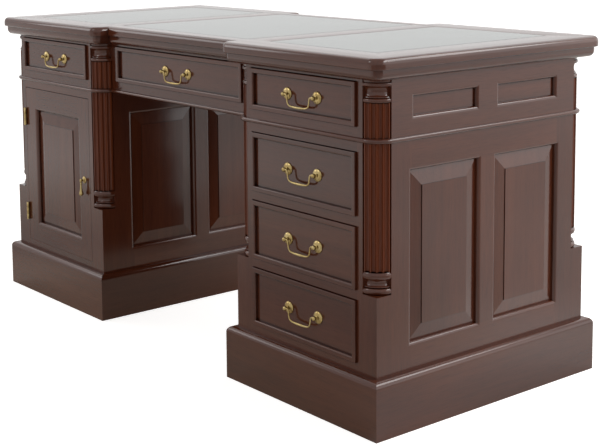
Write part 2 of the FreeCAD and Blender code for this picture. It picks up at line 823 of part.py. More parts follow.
def pedestal_frame():
    """Framed sides, corner posts and blocks, and the rails of the right-hand pedestal."""
    side = moulded_frame(
        "SideFrame", SIDE_LENGTH, SIDE_HEIGHT, "case_board", (f"-{WINDOW_X}", WINDOW_X),
        SIDE_WINDOW, "side_foot_rail")
    members = frame_members(
        "Side", side, SIDE_LENGTH, SIDE_HEIGHT, "case_board", "side_stile", "side_foot_rail",
        "side_head_rail", "side_muntin")
    pieces = [
        group("OuterSide", list(members.values()), CASE_OUT, "0", CASE_Z, QUARTER_TURN),
        group("KneeSide", list(members.values()), CASE_IN, "0", CASE_Z, -QUARTER_TURN),
    ]
    case_z = (CASE_Z, CASE_TOP)
    block_z = (CASE_Z, f"{CASE_Z} + block_height")
    for front, name in ((-1, "Front"), (1, "Back")):
        outer = span(front, RECESS_Y, BODY_Y)
        inner = span(front, INNER_Y, RECESS_Y)
        whole = span(front, INNER_Y, BODY_Y)
        post = board(f"{name}OuterPost", (OPEN_OUT, POST_OUT), outer, case_z)
        if front > 0:
            post = cut("HungPost", post, hinge_beds("Post", "-1", HINGE_X, HINGE_Y, OPEN_Z))
        pieces += [
            post,
            board(f"{name}InnerPost", (POST_IN, OPEN_IN), outer, case_z),
            board(f"{name}OuterBlock", (POST_OUT, BODY_X), outer, block_z),
            board(f"{name}InnerBlock", (KNEE_X, POST_IN), outer, block_z),
            board(f"{name}OuterBacking", (OPEN_OUT, CASE_OUT), inner, case_z),
            board(f"{name}InnerBacking", (CASE_IN, OPEN_IN), inner, case_z),
            board(f"{name}BaseRail", (OPEN_IN, OPEN_OUT), whole, (CASE_Z, OPEN_Z)),
            board(f"{name}HeadRail", (OPEN_IN, OPEN_OUT), whole, (OPEN_TOP, CASE_TOP)),
        ]
    for k in (1, 2):
        top = f"{OPEN_Z} + {k} * {DRAWER_PITCH}"
        pieces.append(board(
            f"DrawerRail{k}", (OPEN_IN, OPEN_OUT), span(-1, INNER_Y, BODY_Y),
            (f"{top} - drawer_rail", top)))
    return pieces


def pedestal_panels():
    panels = [
        raised_panel(f"SidePanel{k}", SIDE_WINDOW, "side_foot_rail", "case_board", x)
        for k, x in ((1, f"-{WINDOW_X}"), (2, WINDOW_X))
    ]
    return [
        group("OuterPanels", panels, CASE_OUT, "0", CASE_Z, QUARTER_TURN),
        group("KneePanels", panels, CASE_IN, "0", CASE_Z, -QUARTER_TURN),
    ]


def pedestal_interior():
    """Floor, top, the board between the two users' halves, drawer runners and cupboard shelf."""
    floor_x = (CASE_IN, CASE_OUT)
    floor_y = (f"-{INNER_Y}", INNER_Y)
    top_z = f"({CASE_TOP} - inner_board)"
    front_y = (f"-{INNER_Y}", f"-{PARTITION_Y}")
    bearing_in = (CASE_IN, f"{OPEN_IN} + runner_bearing")
    bearing_out = (f"{OPEN_OUT} - runner_bearing", CASE_OUT)
    pieces = [
        board("Floor", floor_x, floor_y, (CASE_Z, OPEN_Z)),
        board("CaseTop", floor_x, floor_y, (top_z, CASE_TOP)),
        board("Partition", floor_x, (f"-{PARTITION_Y}", PARTITION_Y), (OPEN_Z, top_z)),
    ]
    for k in range(3):
        level = f"({OPEN_Z} + {k} * {DRAWER_PITCH})"
        guide_z = (level, f"{level} + guide_height")
        pieces += [
            board(f"GuideIn{k}", (CASE_IN, OPEN_IN), front_y, guide_z),
            board(f"GuideOut{k}", (OPEN_OUT, CASE_OUT), front_y, guide_z),
        ]
        if k > 0:
            runner_z = (f"{level} - drawer_rail", level)
            middle = f"({level} - drawer_rail / 2)"
            pieces += [
                board(f"RunnerIn{k}", bearing_in, front_y, runner_z),
                board(f"RunnerOut{k}", bearing_out, front_y, runner_z),
                board(f"DustBoard{k}", (bearing_in[1], bearing_out[0]), front_y,
                      (f"{middle} - dust_board / 2", f"{middle} + dust_board / 2")),
            ]
    shelf_z = f"({OPEN_Z} + shelf_height)"
    shelf_y = (PARTITION_Y, f"{INNER_Y} - shelf_setback")
    bearer_z = (f"{shelf_z} - bearer_width", shelf_z)
    pieces += [
        board("Shelf", floor_x, shelf_y, (shelf_z, f"{shelf_z} + inner_board")),
        board("BearerIn", (CASE_IN, f"{CASE_IN} + bearer_width"), shelf_y, bearer_z),
        board("BearerOut", (f"{CASE_OUT} - bearer_width", CASE_OUT), shelf_y, bearer_z),
    ]
    return pieces


# Frieze -----------------------------------------------------------------------------------------

def end_board():
    """The end of the frieze, with a shallow sunk panel over each panel of the side."""
    body = new_body("FriezeEnd")
    height = f"({BOARD_Z} - {CASE_TOP})"
    blank = outline(body, "FriezeEndBlank", "XZ_Plane", rectangle(SIDE_LENGTH, "0", height))
    pad(body, "FriezeEndPad", blank, "case_board")
    low = "(small_panel_foot + sticking)"
    high = "(small_panel_foot + small_panel_height - sticking)"
    for k, x in ((1, f"-{WINDOW_X}"), (2, WINDOW_X)):
        sight = outline(
            body, f"FriezeEndSight{k}", "XZ_Plane",
            rectangle(f"({WINDOW_WIDTH} - 2 * sticking)", low, high, x), "case_board")
        pocket(body, f"FriezeEndSink{k}", sight, "small_panel_sink")
    fillet(body, "FriezeEndSticking", "sticking", inside_face)
    return group("FriezeRightEnd", [body], CASE_OUT, "0", CASE_TOP, QUARTER_TURN)


def frieze_carcase():
    """The frieze is a wide shallow box: rails, posts and stiles round the six drawers."""
    whole_z = (CASE_TOP, BOARD_Z)
    low_z = (CASE_TOP, FRIEZE_OPEN_Z)
    top_z = (FRIEZE_TOP, BOARD_Z)
    cap_z = (APRON_Z, BOARD_Z)
    right = end_board()
    pieces = [right, group("FriezeLeftEnd", [right], turn=HALF_TURN)]
    for side, end in ((1, "Right"), (-1, "Left")):
        division = span(side, KNEE_X, CASE_IN)
        pieces += [
            board(f"{end}Division", division, (f"-{RECESS_Y}", RECESS_Y), whole_z),
            board(f"{end}FriezePartition", span(side, CASE_IN, CASE_OUT),
                  (f"-{PARTITION_Y}", PARTITION_Y), whole_z),
        ]
        for front, face in ((-1, "Front"), (1, "Back")):
            outer = span(front, RECESS_Y, BODY_Y)
            inner = span(front, INNER_Y, RECESS_Y)
            whole = span(front, INNER_Y, BODY_Y)
            name = f"{face}{end}Frieze"
            opening = span(side, OPEN_IN, OPEN_OUT)
            pieces += [
                board(f"{name}OuterPost", span(side, OPEN_OUT, POST_OUT), outer, whole_z),
                board(f"{name}InnerPost", span(side, POST_IN, OPEN_IN), outer, whole_z),
                board(f"{name}OuterBacking", span(side, OPEN_OUT, CASE_OUT), inner, whole_z),
                board(f"{name}InnerBacking", span(side, CASE_IN, OPEN_IN), inner, whole_z),
                board(f"{name}LowRail", opening, whole, low_z),
                board(f"{name}TopRail", opening, whole, top_z),
                board(f"{name}OuterCap", span(side, POST_OUT, BODY_X), outer, cap_z),
                board(f"{name}InnerCap", span(side, KNEE_X, POST_IN), outer, cap_z),
                board(f"{name}Stile", span(side, MIDDLE_OPEN, KNEE_X), inner, whole_z),
            ]
    for front, face in ((-1, "Front"), (1, "Back")):
        inner = span(front, INNER_Y, RECESS_Y)
        opening = (f"-{MIDDLE_OPEN}", MIDDLE_OPEN)
        pieces += [
            board(f"{face}MiddleLowRail", opening, inner, low_z),
            board(f"{face}MiddleTopRail", opening, inner, top_z),
        ]
    soffit_z = (CASE_TOP, f"{CASE_TOP} + soffit_board")
    knee = (f"-{KNEE_X}", KNEE_X)
    pieces += [
        board("MiddlePartition", knee, (f"-{PARTITION_Y}", PARTITION_Y),
              (soffit_z[1], BOARD_Z)),
        board("KneeholeSoffit", knee, (f"-{INNER_Y}", INNER_Y), soffit_z),
    ]
    return group("frieze_carcase", pieces)


def frieze_runners():
    """Runners under the frieze drawers' sides and guides beside them."""
    pieces = []
    runner_z = (f"{FRIEZE_OPEN_Z} - runner_height", FRIEZE_OPEN_Z)
    guide_z = (FRIEZE_OPEN_Z, f"{FRIEZE_OPEN_Z} + guide_height")
    for front, face in ((-1, "Front"), (1, "Back")):
        y = span(front, PARTITION_Y, INNER_Y)
        for side, end in ((1, "Right"), (-1, "Left")):
            name = f"{face}{end}"
            pieces += [
                board(f"{name}RunnerIn", span(side, CASE_IN, f"({OPEN_IN} + runner_bearing)"),
                      y, runner_z),
                board(f"{name}RunnerOut", span(side, f"({OPEN_OUT} - runner_bearing)", CASE_OUT),
                      y, runner_z),
                board(f"{name}RunnerMiddle",
                      span(side, f"({MIDDLE_OPEN} - runner_bearing)", KNEE_X), y, runner_z),
                board(f"{name}GuideIn", span(side, CASE_IN, OPEN_IN), y, guide_z),
                board(f"{name}GuideOut", span(side, OPEN_OUT, CASE_OUT), y, guide_z),
                board(f"{name}GuideMiddle", span(side, MIDDLE_OPEN, KNEE_X), y, guide_z),
            ]
    return group("frieze_runners", pieces)


# Drawers ----------------------------------------------------------------------------------------

def drawer(name, half_opening, opening_height, face_y):
    """A drawer in its own frame: y = 0 on the carcase face, z = 0 on the foot of its opening."""
    width = f"(2 * {half_opening} - 2 * front_gap_side)"
    foot = "front_gap_under"
    head = f"({opening_height} - front_gap_over)"
    inset = "(rim_flat + rim_round)"
    front = new_body(f"{name}Front")
    blank = outline(
        front, f"{name}Blank", "XZ_Plane", rectangle(width, foot, head), f"-{FRONT_BACK}")
    pad(front, f"{name}Pad", blank, "front_thickness")
    sight = outline(
        front, f"{name}Sight", "XZ_Plane",
        rectangle(f"({width} - 2 * {inset})", f"{foot} + {inset}", f"{head} - {inset}"),
        "rim_proud")
    pocket(front, f"{name}Field", sight, "rim_depth")
    fillet(front, f"{name}Ovolo", "rim_round", inside_face)
    chamfer(front, f"{name}Ease", "rim_ease", lambda edge, solid: (
        near(edge.YMax, solid.YMin) and (
            near(edge.XMin, solid.XMax) or near(edge.XMax, solid.XMin)
            or near(edge.ZMin, solid.ZMax) or near(edge.ZMax, solid.ZMin))))
    half = f"({half_opening} - drawer_side_gap)"
    inner = f"({half} - drawer_board)"
    end = f"({face_y} - {PARTITION_Y} - drawer_back_space)"
    back = f"({end} - drawer_board)"
    side_z = (foot, f"{head} - drawer_side_drop")
    bottom = f"({foot} + drawer_bottom_lift)"
    floor = f"({bottom} + drawer_bottom)"
    return [
        front,
        board(f"{name}Right", (inner, half), (FRONT_BACK, end), side_z),
        board(f"{name}Left", (f"-{half}", f"-{inner}"), (FRONT_BACK, end), side_z),
        board(f"{name}Bottom", (f"-{inner}", inner), (FRONT_BACK, end), (bottom, floor)),
        board(f"{name}Back", (f"-{inner}", inner), (back, end),
              (floor, f"{head} - drawer_side_drop")),
    ]


def rose(body, name, radius, thickness):
    """The round plate under a pull, its edge bevelled."""
    prism(body, f"{name}Plate", "XZ_Plane", radius, ROSE_SIDES, "0", thickness)
    chamfer(body, f"{name}Bevel", f"0.6 * {thickness}", lambda edge, solid: (
        near(edge.YMax, solid.YMin)))


def pull_posts():
    """Two turned posts on roses; each knob has a blind hole for the bail's end."""
    post = new_body("PullPost")
    rose(post, "PullRose", "rose_radius", "rose_thickness")
    prism(post, "PullStem", "XZ_Plane", "post_radius", BAR_SIDES,
          "0.5 * rose_thickness", "pull_reach")
    prism(post, "PullKnob", "XZ_Plane", "knob_radius", BAR_SIDES,
          "pull_reach - knob_radius", "pull_reach + knob_radius")
    chamfer(post, "PullKnobBevel", "0.4 * knob_radius", lambda edge, solid: (
        near(edge.YMax, solid.YMin)))
    hole = cross_bar(
        "PullHole", clearing("bail_radius + bail_clearance"),
        ("-2 * knob_radius", "bail_end + 0.5"), "-pull_reach")
    bored = cut("BoredPost", post, hole)
    right = group("RightPost", [bored], "pull_spacing / 2")
    return [right, mirrored("LeftPost", right, (1, 0, 0))]


def bail():
    """The swinging bail, its axis on X through the origin and its loop hanging down."""
    leg = "(pull_spacing / 2 - pull_inset)"
    end = "(pull_spacing / 2 + bail_end)"
    body = new_body("Bail")
    half_path = [(end, "0"), (f"{leg} + bail_shoulder", "0")]
    half_path.append((f"{leg} + 0.29 * bail_shoulder", "-0.29 * bail_shoulder"))
    half_path.append((leg, "-bail_shoulder"))
    half_path.append((leg, "-pull_drop + bail_bend"))
    half_path.append((f"{leg} - 0.29 * bail_bend", "-pull_drop + 0.29 * bail_bend"))
    half_path.append((f"{leg} - bail_bend", "-pull_drop"))
    path = half_path + [(f"-({x})", z) for x, z in reversed(half_path)]
    spine = sketch_on(body, "BailPath", "XZ_Plane")
    add_lines(spine, path, closed=False)
    section = outline(body, "BailSection", "YZ_Plane", ring_of_points("bail_radius", BAR_SIDES), end)
    pipe = body.newObject("PartDesign::AdditivePipe", "BailPipe")
    pipe.Profile = section
    pipe.Spine = spine
    pipe.Transition = "Right corner"
    return body


# Cupboard doors ---------------------------------------------------------------------------------

def hinge_beds(label, side, x, y, z):
    """Beds for a hinge's leaves, let into a post (side -1) or a door's edge (side 1)."""
    low, high = ("front_gap_side / 2", "front_gap_side / 2 + hinge_leaf")
    if side == "-1":
        low, high = f"-({high})", f"-({low})"
    leaf_y = ("knuckle_proud - hinge_leaf", "knuckle_proud + hinge_leaf_width")
    beds = [
        board(f"{label}Bed{k}", (low, high), leaf_y,
              (f"{height} - hinge_length / 2", f"{height} + hinge_length / 2"))
        for k, height in ((1, "hinge_low"), (2, "hinge_high"))
    ]
    return group(f"{label}Beds", beds, x, y, z, HALF_TURN if side == "-1" else 0.0)


def hinge(label, side):
    """One half of a butt hinge in its own frame: the pin's axis on Z, the door towards +X."""
    half = "(hinge_length / 2)"
    third = "(hinge_length / 6)"
    low, high = ("front_gap_side / 2", "front_gap_side / 2 + hinge_leaf")
    if side < 0:
        low, high = f"-({high})", f"-({low})"
    leaf = board(
        f"{label}Leaf", (low, high), ("knuckle_proud", "knuckle_proud + hinge_leaf_width"),
        (f"-{half}", half))
    root_y = ("hinge_leaf_root", "knuckle_proud")
    inner = f"({third} - knuckle_gap / 2)"
    outer = f"({third} + knuckle_gap / 2)"
    if side > 0:
        knuckle = bar(f"{label}Knuckle", "knuckle_radius", (f"-{inner}", inner))
        root = board(f"{label}Root", (low, high), root_y, (f"-{inner}", inner))
        bore = bar(f"{label}Bore", clearing("hinge_pin_radius + hinge_pin_clearance"),
                   (f"-{half}", half))
        return cut(f"{label}Half", fuse(f"{label}Blank", [leaf, root, knuckle]), bore)
    pieces = [leaf, bar(f"{label}Pin", "hinge_pin_radius", (f"-{half}", half))]
    for part, z in (("Low", (f"-{half}", f"-{outer}")), ("High", (outer, half))):
        pieces.append(bar(f"{label}{part}Knuckle", "knuckle_radius", z))
        pieces.append(board(f"{label}{part}Root", (low, high), root_y, z))
    return fuse(f"{label}Half", pieces)


def door():
    """A framed door in its own frame: outer face at y = -thickness, foot at z = 0."""
    body = moulded_frame(
        "DoorFrame", DOOR_WIDTH, DOOR_HEIGHT, "door_thickness", ("0",), DOOR_WINDOW,
        "door_foot_rail")
    members = frame_members(
        "Door", body, DOOR_WIDTH, DOOR_HEIGHT, "door_thickness", "door_stile",
        "door_foot_rail", "door_head_rail")
    beds = hinge_beds(
        "Door", "1", f"-({DOOR_WIDTH} + front_gap_side) / 2",
        "-door_thickness - knuckle_proud", "-front_gap_under")
    members["LeftStile"] = cut("DoorHungStile", members["LeftStile"], beds)
    panel = raised_panel("DoorPanel", DOOR_WINDOW, "door_foot_rail", "door_thickness")
    return list(members.values()) + [panel]


def drop_rose():
    """The drop pull's rose with two ears and the pin between them, in the pull's own frame."""
    plate = new_body("DropRose")
    rose(plate, "DropRose", "drop_rose_radius", "rose_thickness")
    gap = "(drop_eye_width / 2 + drop_eye_gap)"
    ear_end = f"({gap} + drop_ear)"
    ears = [
        board(f"{name}Ear", span(side, gap, ear_end),
              ("-drop_reach - drop_eye_radius * 0.7", "-1"),
              ("-0.7 * drop_eye_radius", "0.7 * drop_eye_radius"))
        for side, name in ((1, "Right"), (-1, "Left"))
    ]
    pin = cross_bar("DropPin", "drop_pin_radius", (f"-{ear_end}", ear_end), "-drop_reach")
    return fuse("DropMount", [plate, pin] + ears)


def pendant():
    """The pendant: an eye on the pin, a slim waist and a bulb at the foot."""
    body = new_body("PendantDrop")
    prism(body, "PendantWaist", "XY_Plane", "drop_waist_radius", BAR_SIDES,
          "-0.9 * drop_length", "-0.5 * drop_eye_radius")
    prism(body, "PendantBulb", "XY_Plane", "drop_bulb_radius", BAR_SIDES,
          "-drop_length", "-drop_length + 2 * drop_bulb_radius")
    chamfer(body, "PendantFoot", "0.5 * drop_bulb_radius", lambda edge, solid: (
        near(edge.ZMax, solid.ZMin)))
    shoulder = sheet.get("drop_bulb_radius")
    chamfer(body, "PendantShoulder", "0.5 * drop_bulb_radius", lambda edge, solid: (
        near(edge.ZMin, edge.ZMax) and near(edge.ZMin, solid.ZMin + 2 * shoulder)
        and max(abs(edge.XMin), abs(edge.XMax), abs(edge.YMin), abs(edge.YMax)) > 0.8 * shoulder))
    eye = cross_bar(
        "PendantEye", "drop_eye_radius", ("-drop_eye_width / 2", "drop_eye_width / 2"))
    bore = cross_bar(
        "PendantBore", clearing("drop_pin_radius + drop_pin_clearance"),
        ("-drop_eye_width", "drop_eye_width"))
    return cut("Pendant", fuse("PendantBlank", [body, eye]), bore)


# The desk ---------------------------------------------------------------------------------------

def beside(at, x, y, z):
    """A place given in the frame of a piece that stands turned by none or half a turn."""
    x0, y0, z0, turn = at
    sign = "-" if turn else "+"
    return f"{x0} {sign} ({x})", f"{y0} {sign} ({y})", f"{z0} + {z}", turn


def drawer_nodes():
    """Twelve drawers, each with its pull and its bail."""
    side = drawer("SideFrieze", f"{OPEN_WIDTH} / 2", "frieze_opening", BODY_Y)
    middle = drawer("MiddleFrieze", MIDDLE_OPEN, "frieze_opening", RECESS_Y)
    deep = drawer("Pedestal", f"{OPEN_WIDTH} / 2", "drawer_opening", BODY_Y)
    posts = pull_posts()
    loop = bail()
    nodes = []
    for face, sign, turn in (("front", "-", 0.0), ("back", "", HALF_TURN)):
        own_right = "" if face == "front" else "-"
        ends = {"left": f"-{PEDESTAL_X}", "right": PEDESTAL_X}
        row = [(f"{face}_{end}_frieze_drawer", side, x, BODY_Y) for end, x in ends.items()]
        row.append((f"{face}_centre_frieze_drawer", middle, "0", RECESS_Y))
        stack = [
            (name, pieces, (x, f"{sign}{y}", FRIEZE_OPEN_Z, turn), "frieze_opening")
            for name, pieces, x, y in row
        ]
        for k in range(3):
            level = f"{OPEN_Z} + {2 - k} * {DRAWER_PITCH}"
            at = (f"{own_right}{PEDESTAL_X}", f"{sign}{BODY_Y}", level, turn)
            stack.append((f"{face}_pedestal_drawer_{k + 1}", deep, at, "drawer_opening"))
        for name, pieces, at, height in stack:
            middle_z = f"({height} + front_gap_under - front_gap_over) / 2"
            nodes += [
                group(name, pieces, *at),
                group(f"{name}_pull", posts, *beside(at, "0", FIELD_Y, middle_z)),
                group(f"{name}_bail", [loop],
                      *beside(at, "0", f"{FIELD_Y} - pull_reach", middle_z)),
            ]
    return nodes


def door_nodes():
    """Two doors, each with its brass and its drop pull, and the hinge halves on the desk."""
    leaves = door()
    moving = hinge("DoorHinge", 1)
    fixed = hinge("PostHinge", -1)
    rose = drop_rose()
    drop = pendant()
    hinge_x = f"-({DOOR_WIDTH} + front_gap_side) / 2"
    hinge_y = "(-door_thickness - knuckle_proud)"
    heights = {"Low": "hinge_low", "High": "hinge_high"}
    moving_pair = [
        group(f"DoorHinge{name}", [moving], hinge_x, hinge_y, f"{height} - front_gap_under")
        for name, height in heights.items()
    ]
    fixed_pair = [
        group(f"PostHinge{name}", [fixed], hinge_x, hinge_y, f"{height} - front_gap_under")
        for name, height in heights.items()
    ]
    pull_x = f"({DOOR_WIDTH} / 2 - drop_from_edge)"
    mount = group("DoorDropMount", [rose], pull_x, "-door_thickness", "drop_height")
    nodes = []
    hung = []
    for face, sign, turn in (("front", "-", 0.0), ("back", "", HALF_TURN)):
        at = (f"{sign}{PEDESTAL_X}", f"{sign}{DOOR_Y}", DOOR_Z, turn)
        nodes += [
            group(f"{face}_door", leaves, *at),
            group(f"{face}_door_brass", moving_pair + [mount], *at),
            group(f"{face}_door_drop", [drop],
                  *beside(at, pull_x, "-door_thickness - drop_reach", "drop_height")),
        ]
        hung.append(group(f"{face}HingePair", fixed_pair, *at))
    nodes.append(group("cabinet_hinges", hung))
    return nodes


def pedestal_nodes():
    """The right-hand pedestal's parts, and the left-hand ones turned half a turn."""
    column_z = f"{CASE_Z} + block_height"
    shaft_height = f"({CASE_TOP} - {CASE_Z} - block_height - {FOOT_HEIGHT})"
    column = fuse("CaseColumn", [
        group("CaseColumnFoot", [column_foot()], z=column_z),
        group("CaseColumnShaft", [shaft("CaseShaft", shaft_height)],
              z=f"{column_z} + {FOOT_HEIGHT}"),
    ])
    parts = {
        "frame": pedestal_frame(),
        "panels": pedestal_panels(),
        "plinth": plinth(),
        "interior": pedestal_interior(),
        "columns": corner_columns("CaseCorner", [column], (1,)),
    }
    nodes = []
    for part, pieces in parts.items():
        nodes.append(group(f"right_pedestal_{part}", pieces))
        nodes.append(group(f"left_pedestal_{part}", pieces, turn=HALF_TURN))
    return nodes


def frieze_columns():
    """Short fluted columns that carry on the lines of the tall ones up to the moulding."""
    plate_z = CASE_TOP
    shaft_z = f"({CASE_TOP} + bead_height)"
    shaft_height = f"({APRON_Z} - {shaft_z} - {HEAD_HEIGHT})"
    plate = turned("ColumnPlate", [
        ("0", "0"), ("column_notch", "0"), ("column_notch", "bead_height"), ("0", "bead_height")])
    column = fuse("FriezeColumn", [
        group("FriezeColumnPlate", [plate], z=plate_z),
        group("FriezeColumnShaft", [shaft("FriezeShaft", shaft_height)], z=shaft_z),
        group("FriezeColumnHead", [column_head()], z=f"{APRON_Z} - {HEAD_HEIGHT}"),
    ])
    return group("frieze_columns", corner_columns("FriezeCorner", [column], (1, -1)))


nodes = [
    top_board(),
    writing_leathers(),
    apron_moulding(),
    frieze_bead(),
    frieze_carcase(),
    frieze_columns(),
    frieze_runners(),
]
nodes += pedestal_nodes()
nodes += drawer_nodes()
nodes += door_nodes()
doc.recompute()

failed = [item.Label for item in doc.Objects if {"Invalid", "Error"} & set(item.State)]
if failed:
    raise ValueError(f"failed: {', '.join(failed)}")
for node in nodes:
    if node.Shape.isNull() or not node.Shape.isValid():
        raise ValueError(f"{node.Label} has no valid shape")

os.makedirs("parts", exist_ok=True)
for node in nodes:
    node.Shape.exportStep(f"parts/{node.Label}.step")
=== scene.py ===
# %% [markdown]
# # A partners desk in mahogany
#
# A partners desk is made for two people who sit face to face. It has two pedestals, a frieze
# of drawers on both long sides and a top with three leathers. The carcase comes in as a fixed
# frame of solids in metres, so every new surface below is worked out where it belongs.

# %% Load the frame
import json
import math

import bmesh
import bpy
import numpy as np
from mathutils import Matrix, Vector
from mathutils.geometry import tessellate_polygon

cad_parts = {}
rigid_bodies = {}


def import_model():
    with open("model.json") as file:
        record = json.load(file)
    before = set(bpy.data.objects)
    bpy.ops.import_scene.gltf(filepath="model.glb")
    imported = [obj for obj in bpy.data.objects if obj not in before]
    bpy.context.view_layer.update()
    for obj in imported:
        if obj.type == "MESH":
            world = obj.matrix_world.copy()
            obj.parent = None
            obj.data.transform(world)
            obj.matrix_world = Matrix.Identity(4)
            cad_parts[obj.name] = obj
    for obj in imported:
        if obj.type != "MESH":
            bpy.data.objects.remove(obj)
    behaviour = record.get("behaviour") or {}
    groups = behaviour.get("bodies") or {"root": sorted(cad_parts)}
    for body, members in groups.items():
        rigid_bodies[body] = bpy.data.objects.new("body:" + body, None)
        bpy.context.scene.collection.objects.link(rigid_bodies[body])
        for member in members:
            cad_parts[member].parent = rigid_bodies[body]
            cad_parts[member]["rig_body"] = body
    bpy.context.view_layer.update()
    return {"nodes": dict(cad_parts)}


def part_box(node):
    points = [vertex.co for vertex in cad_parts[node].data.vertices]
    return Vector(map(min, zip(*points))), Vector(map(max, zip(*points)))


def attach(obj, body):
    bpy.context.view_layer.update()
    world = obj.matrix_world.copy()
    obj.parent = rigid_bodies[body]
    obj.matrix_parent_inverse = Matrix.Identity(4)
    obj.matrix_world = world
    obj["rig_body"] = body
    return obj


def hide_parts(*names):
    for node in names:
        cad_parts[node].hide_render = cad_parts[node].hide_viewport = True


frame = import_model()


# %% [markdown]
# ## Measures
#
# The maker's few ruling sizes, in metres. Left and right are as seen from the front, and the
# front faces the negative Y direction. The back is the front turned half round.

# %% Ruling sizes
HALF_LENGTH, HALF_DEPTH = 0.7475, 0.3275  # the body, to the corner columns' faces
RECESS = 0.2865  # the middle bay's face, set back
PEDESTAL = 0.51925  # from the desk's middle to a pedestal's
KNEE = 0.291  # half the middle bay, from post to post
BEAD_LOW, BEAD_HIGH = 0.6035, 0.6135  # the bead at the foot of the frieze
APRON_LOW, BOARD_LOW, TOP = 0.733, 0.756, 0.780
HAIR = 0.0001  # a margin for tests on a place
print("the body measures", 2 * HALF_LENGTH, "by", 2 * HALF_DEPTH, "and its top is at", TOP)

# %% [markdown]
# ## Surfaces from arrays
#
# A mesh is a list of points and a list of faces that name their corners. Every new piece is
# worked out as whole arrays: rings of points, and a quad between each four neighbours. Edges
# could also be moved by hand, but a formula keeps each size in one place.

# %% Mesh helpers
def sweep(start, stop, steps):
    """Angles in radians, evenly spaced from one angle in degrees to another."""
    return np.radians(np.linspace(start, stop, steps))


def full_turn(sides):
    """Angles in radians of a ring's corners: a full turn times k over the number of sides."""
    return 2.0 * np.pi * np.arange(sides) / sides


def mm(*rows):
    """Rows of millimetres as an array in metres: each number over a thousand."""
    return np.array(rows, float) / 1000.0


def smoothstep(x):
    """3x^2 - 2x^3 of x held between 0 and 1."""
    x = np.clip(x, 0.0, 1.0)
    return x * x * (3.0 - 2.0 * x)


def ring_faces(rows, columns):
    """Corner numbers of the quads between neighbouring rings, where point (row, column) has the
    number row times columns plus column, and the last column is joined to the first."""
    row, column = np.meshgrid(np.arange(rows - 1), np.arange(columns), indexing="ij")
    here, above, after = row * columns, (row + 1) * columns, (column + 1) % columns
    return np.stack((here + column, here + after, above + after, above + column), -1).reshape(-1, 4)


def piece(name, points, faces, body=None, smooth=35.0):
    """A mesh object at the origin from an array of points and a list of faces. It rides on a body
    of the frame, if one is named. Edges sharper than smooth degrees stay crisp."""
    mesh = bpy.data.meshes.new(name)
    points = np.asarray(points, float).reshape(-1, 3)
    mesh.from_pydata(points.tolist(), [], [list(map(int, face)) for face in faces])
    mesh.validate()
    made = bpy.data.objects.new(name, mesh)
    bpy.context.scene.collection.objects.link(made)
    mesh.polygons.foreach_set("use_smooth", np.ones(len(mesh.polygons), bool))
    mesh.set_sharp_from_angle(angle=math.radians(smooth))
    mesh.update()
    if body:
        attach(made, body)
    return made


# %% [markdown]
# ## Finishes from nodes
#
# A finish is a small graph: a pattern read at each point, turned into a colour, a roughness and
# a height. The graphs could be drawn by hand in the Shader Editor. A few helpers write them as
# short sums instead, so that one recipe serves several timbers.

# %% Node helpers
def node_of(tree, kind):
    """The first node of a type in a tree."""
    return next(node for node in tree.nodes if node.type == kind)


def new_material(name):
    """An empty material with a Principled shader that is joined to its output."""
    material = bpy.data.materials.new(name)
    material.use_nodes = True
    return material, material.node_tree, node_of(material.node_tree, "BSDF_PRINCIPLED")


def tree_of(values):
    """The node tree of the first socket among some values."""
    return next(value.id_data for value in values if isinstance(value, bpy.types.NodeSocket))


def feed(socket, value):
    """Links another node's socket to an input, or sets a plain value on it."""
    if isinstance(value, bpy.types.NodeSocket):
        socket.id_data.links.new(value, socket)
    else:
        socket.default_value = value


def fill(node, **inputs):
    """Feeds a node's inputs by name, where an underscore stands for a space."""
    for name, value in inputs.items():
        feed(node.inputs[name.replace("_", " ")], value)
    return node


def add(kind, tree=None, **inputs):
    """A new node of a kind, with its inputs filled, in a given tree or else in theirs."""
    return fill((tree or tree_of(inputs.values())).nodes.new(kind), **inputs)


def calculate(operation, *values):
    """A Math node on sockets or numbers. It returns its result's socket."""
    node = tree_of(values).nodes.new("ShaderNodeMath")
    node.operation = operation
    for socket, value in zip(node.inputs, values):
        feed(socket, value)
    return node.outputs[0]


def chain(operation, *values):
    """A Math operation on the first two values, then on that result and the next, to the last."""
    result = values[0]
    for value in values[1:]:
        result = calculate(operation, result, value)
    return result


def times(*values):
    """The product of values. On masks it is 1 where all of them hold."""
    return chain("MULTIPLY", *values)


def total(*values):
    """The sum of values."""
    return chain("ADD", *values)


def largest(*values):
    """The largest of values. On masks it is 1 where at least one holds."""
    return chain("MAXIMUM", *values)


# %% Patterns, ramps and mixes
def noise(vector, scale, detail=4.0, roughness=0.5, distortion=0.0):
    """A Noise Texture read at a vector. It returns its value's socket."""
    return add("ShaderNodeTexNoise", Vector=vector, Scale=scale, Detail=detail,
               Roughness=roughness, Distortion=distortion).outputs["Fac"]


def ramp(value, *stops):
    """A Color Ramp of (position, colour) stops. It returns its colour's socket."""
    node = add("ShaderNodeValToRGB", Fac=value)
    elements = node.color_ramp.elements
    while len(elements) < len(stops):
        elements.new(0.5)
    for element, (position, colour) in zip(elements, stops):
        element.position, element.color = position, (*colour, 1.0)
    return node.outputs["Color"]


def blend(factor, first, second, mode="MIX"):
    """A Mix node on two colours, each a socket or (red, green, blue): first times (1 - factor)
    plus second times factor, or their product in MULTIPLY. It returns its result's socket."""
    node = tree_of((factor, first, second)).nodes.new("ShaderNodeMix")
    node.data_type, node.blend_type = "RGBA", mode
    for slot, value in (("Factor", factor), (6, first), (7, second)):
        feed(node.inputs[slot], (*value, 1.0) if isinstance(value, tuple) else value)
    return node.outputs[2]


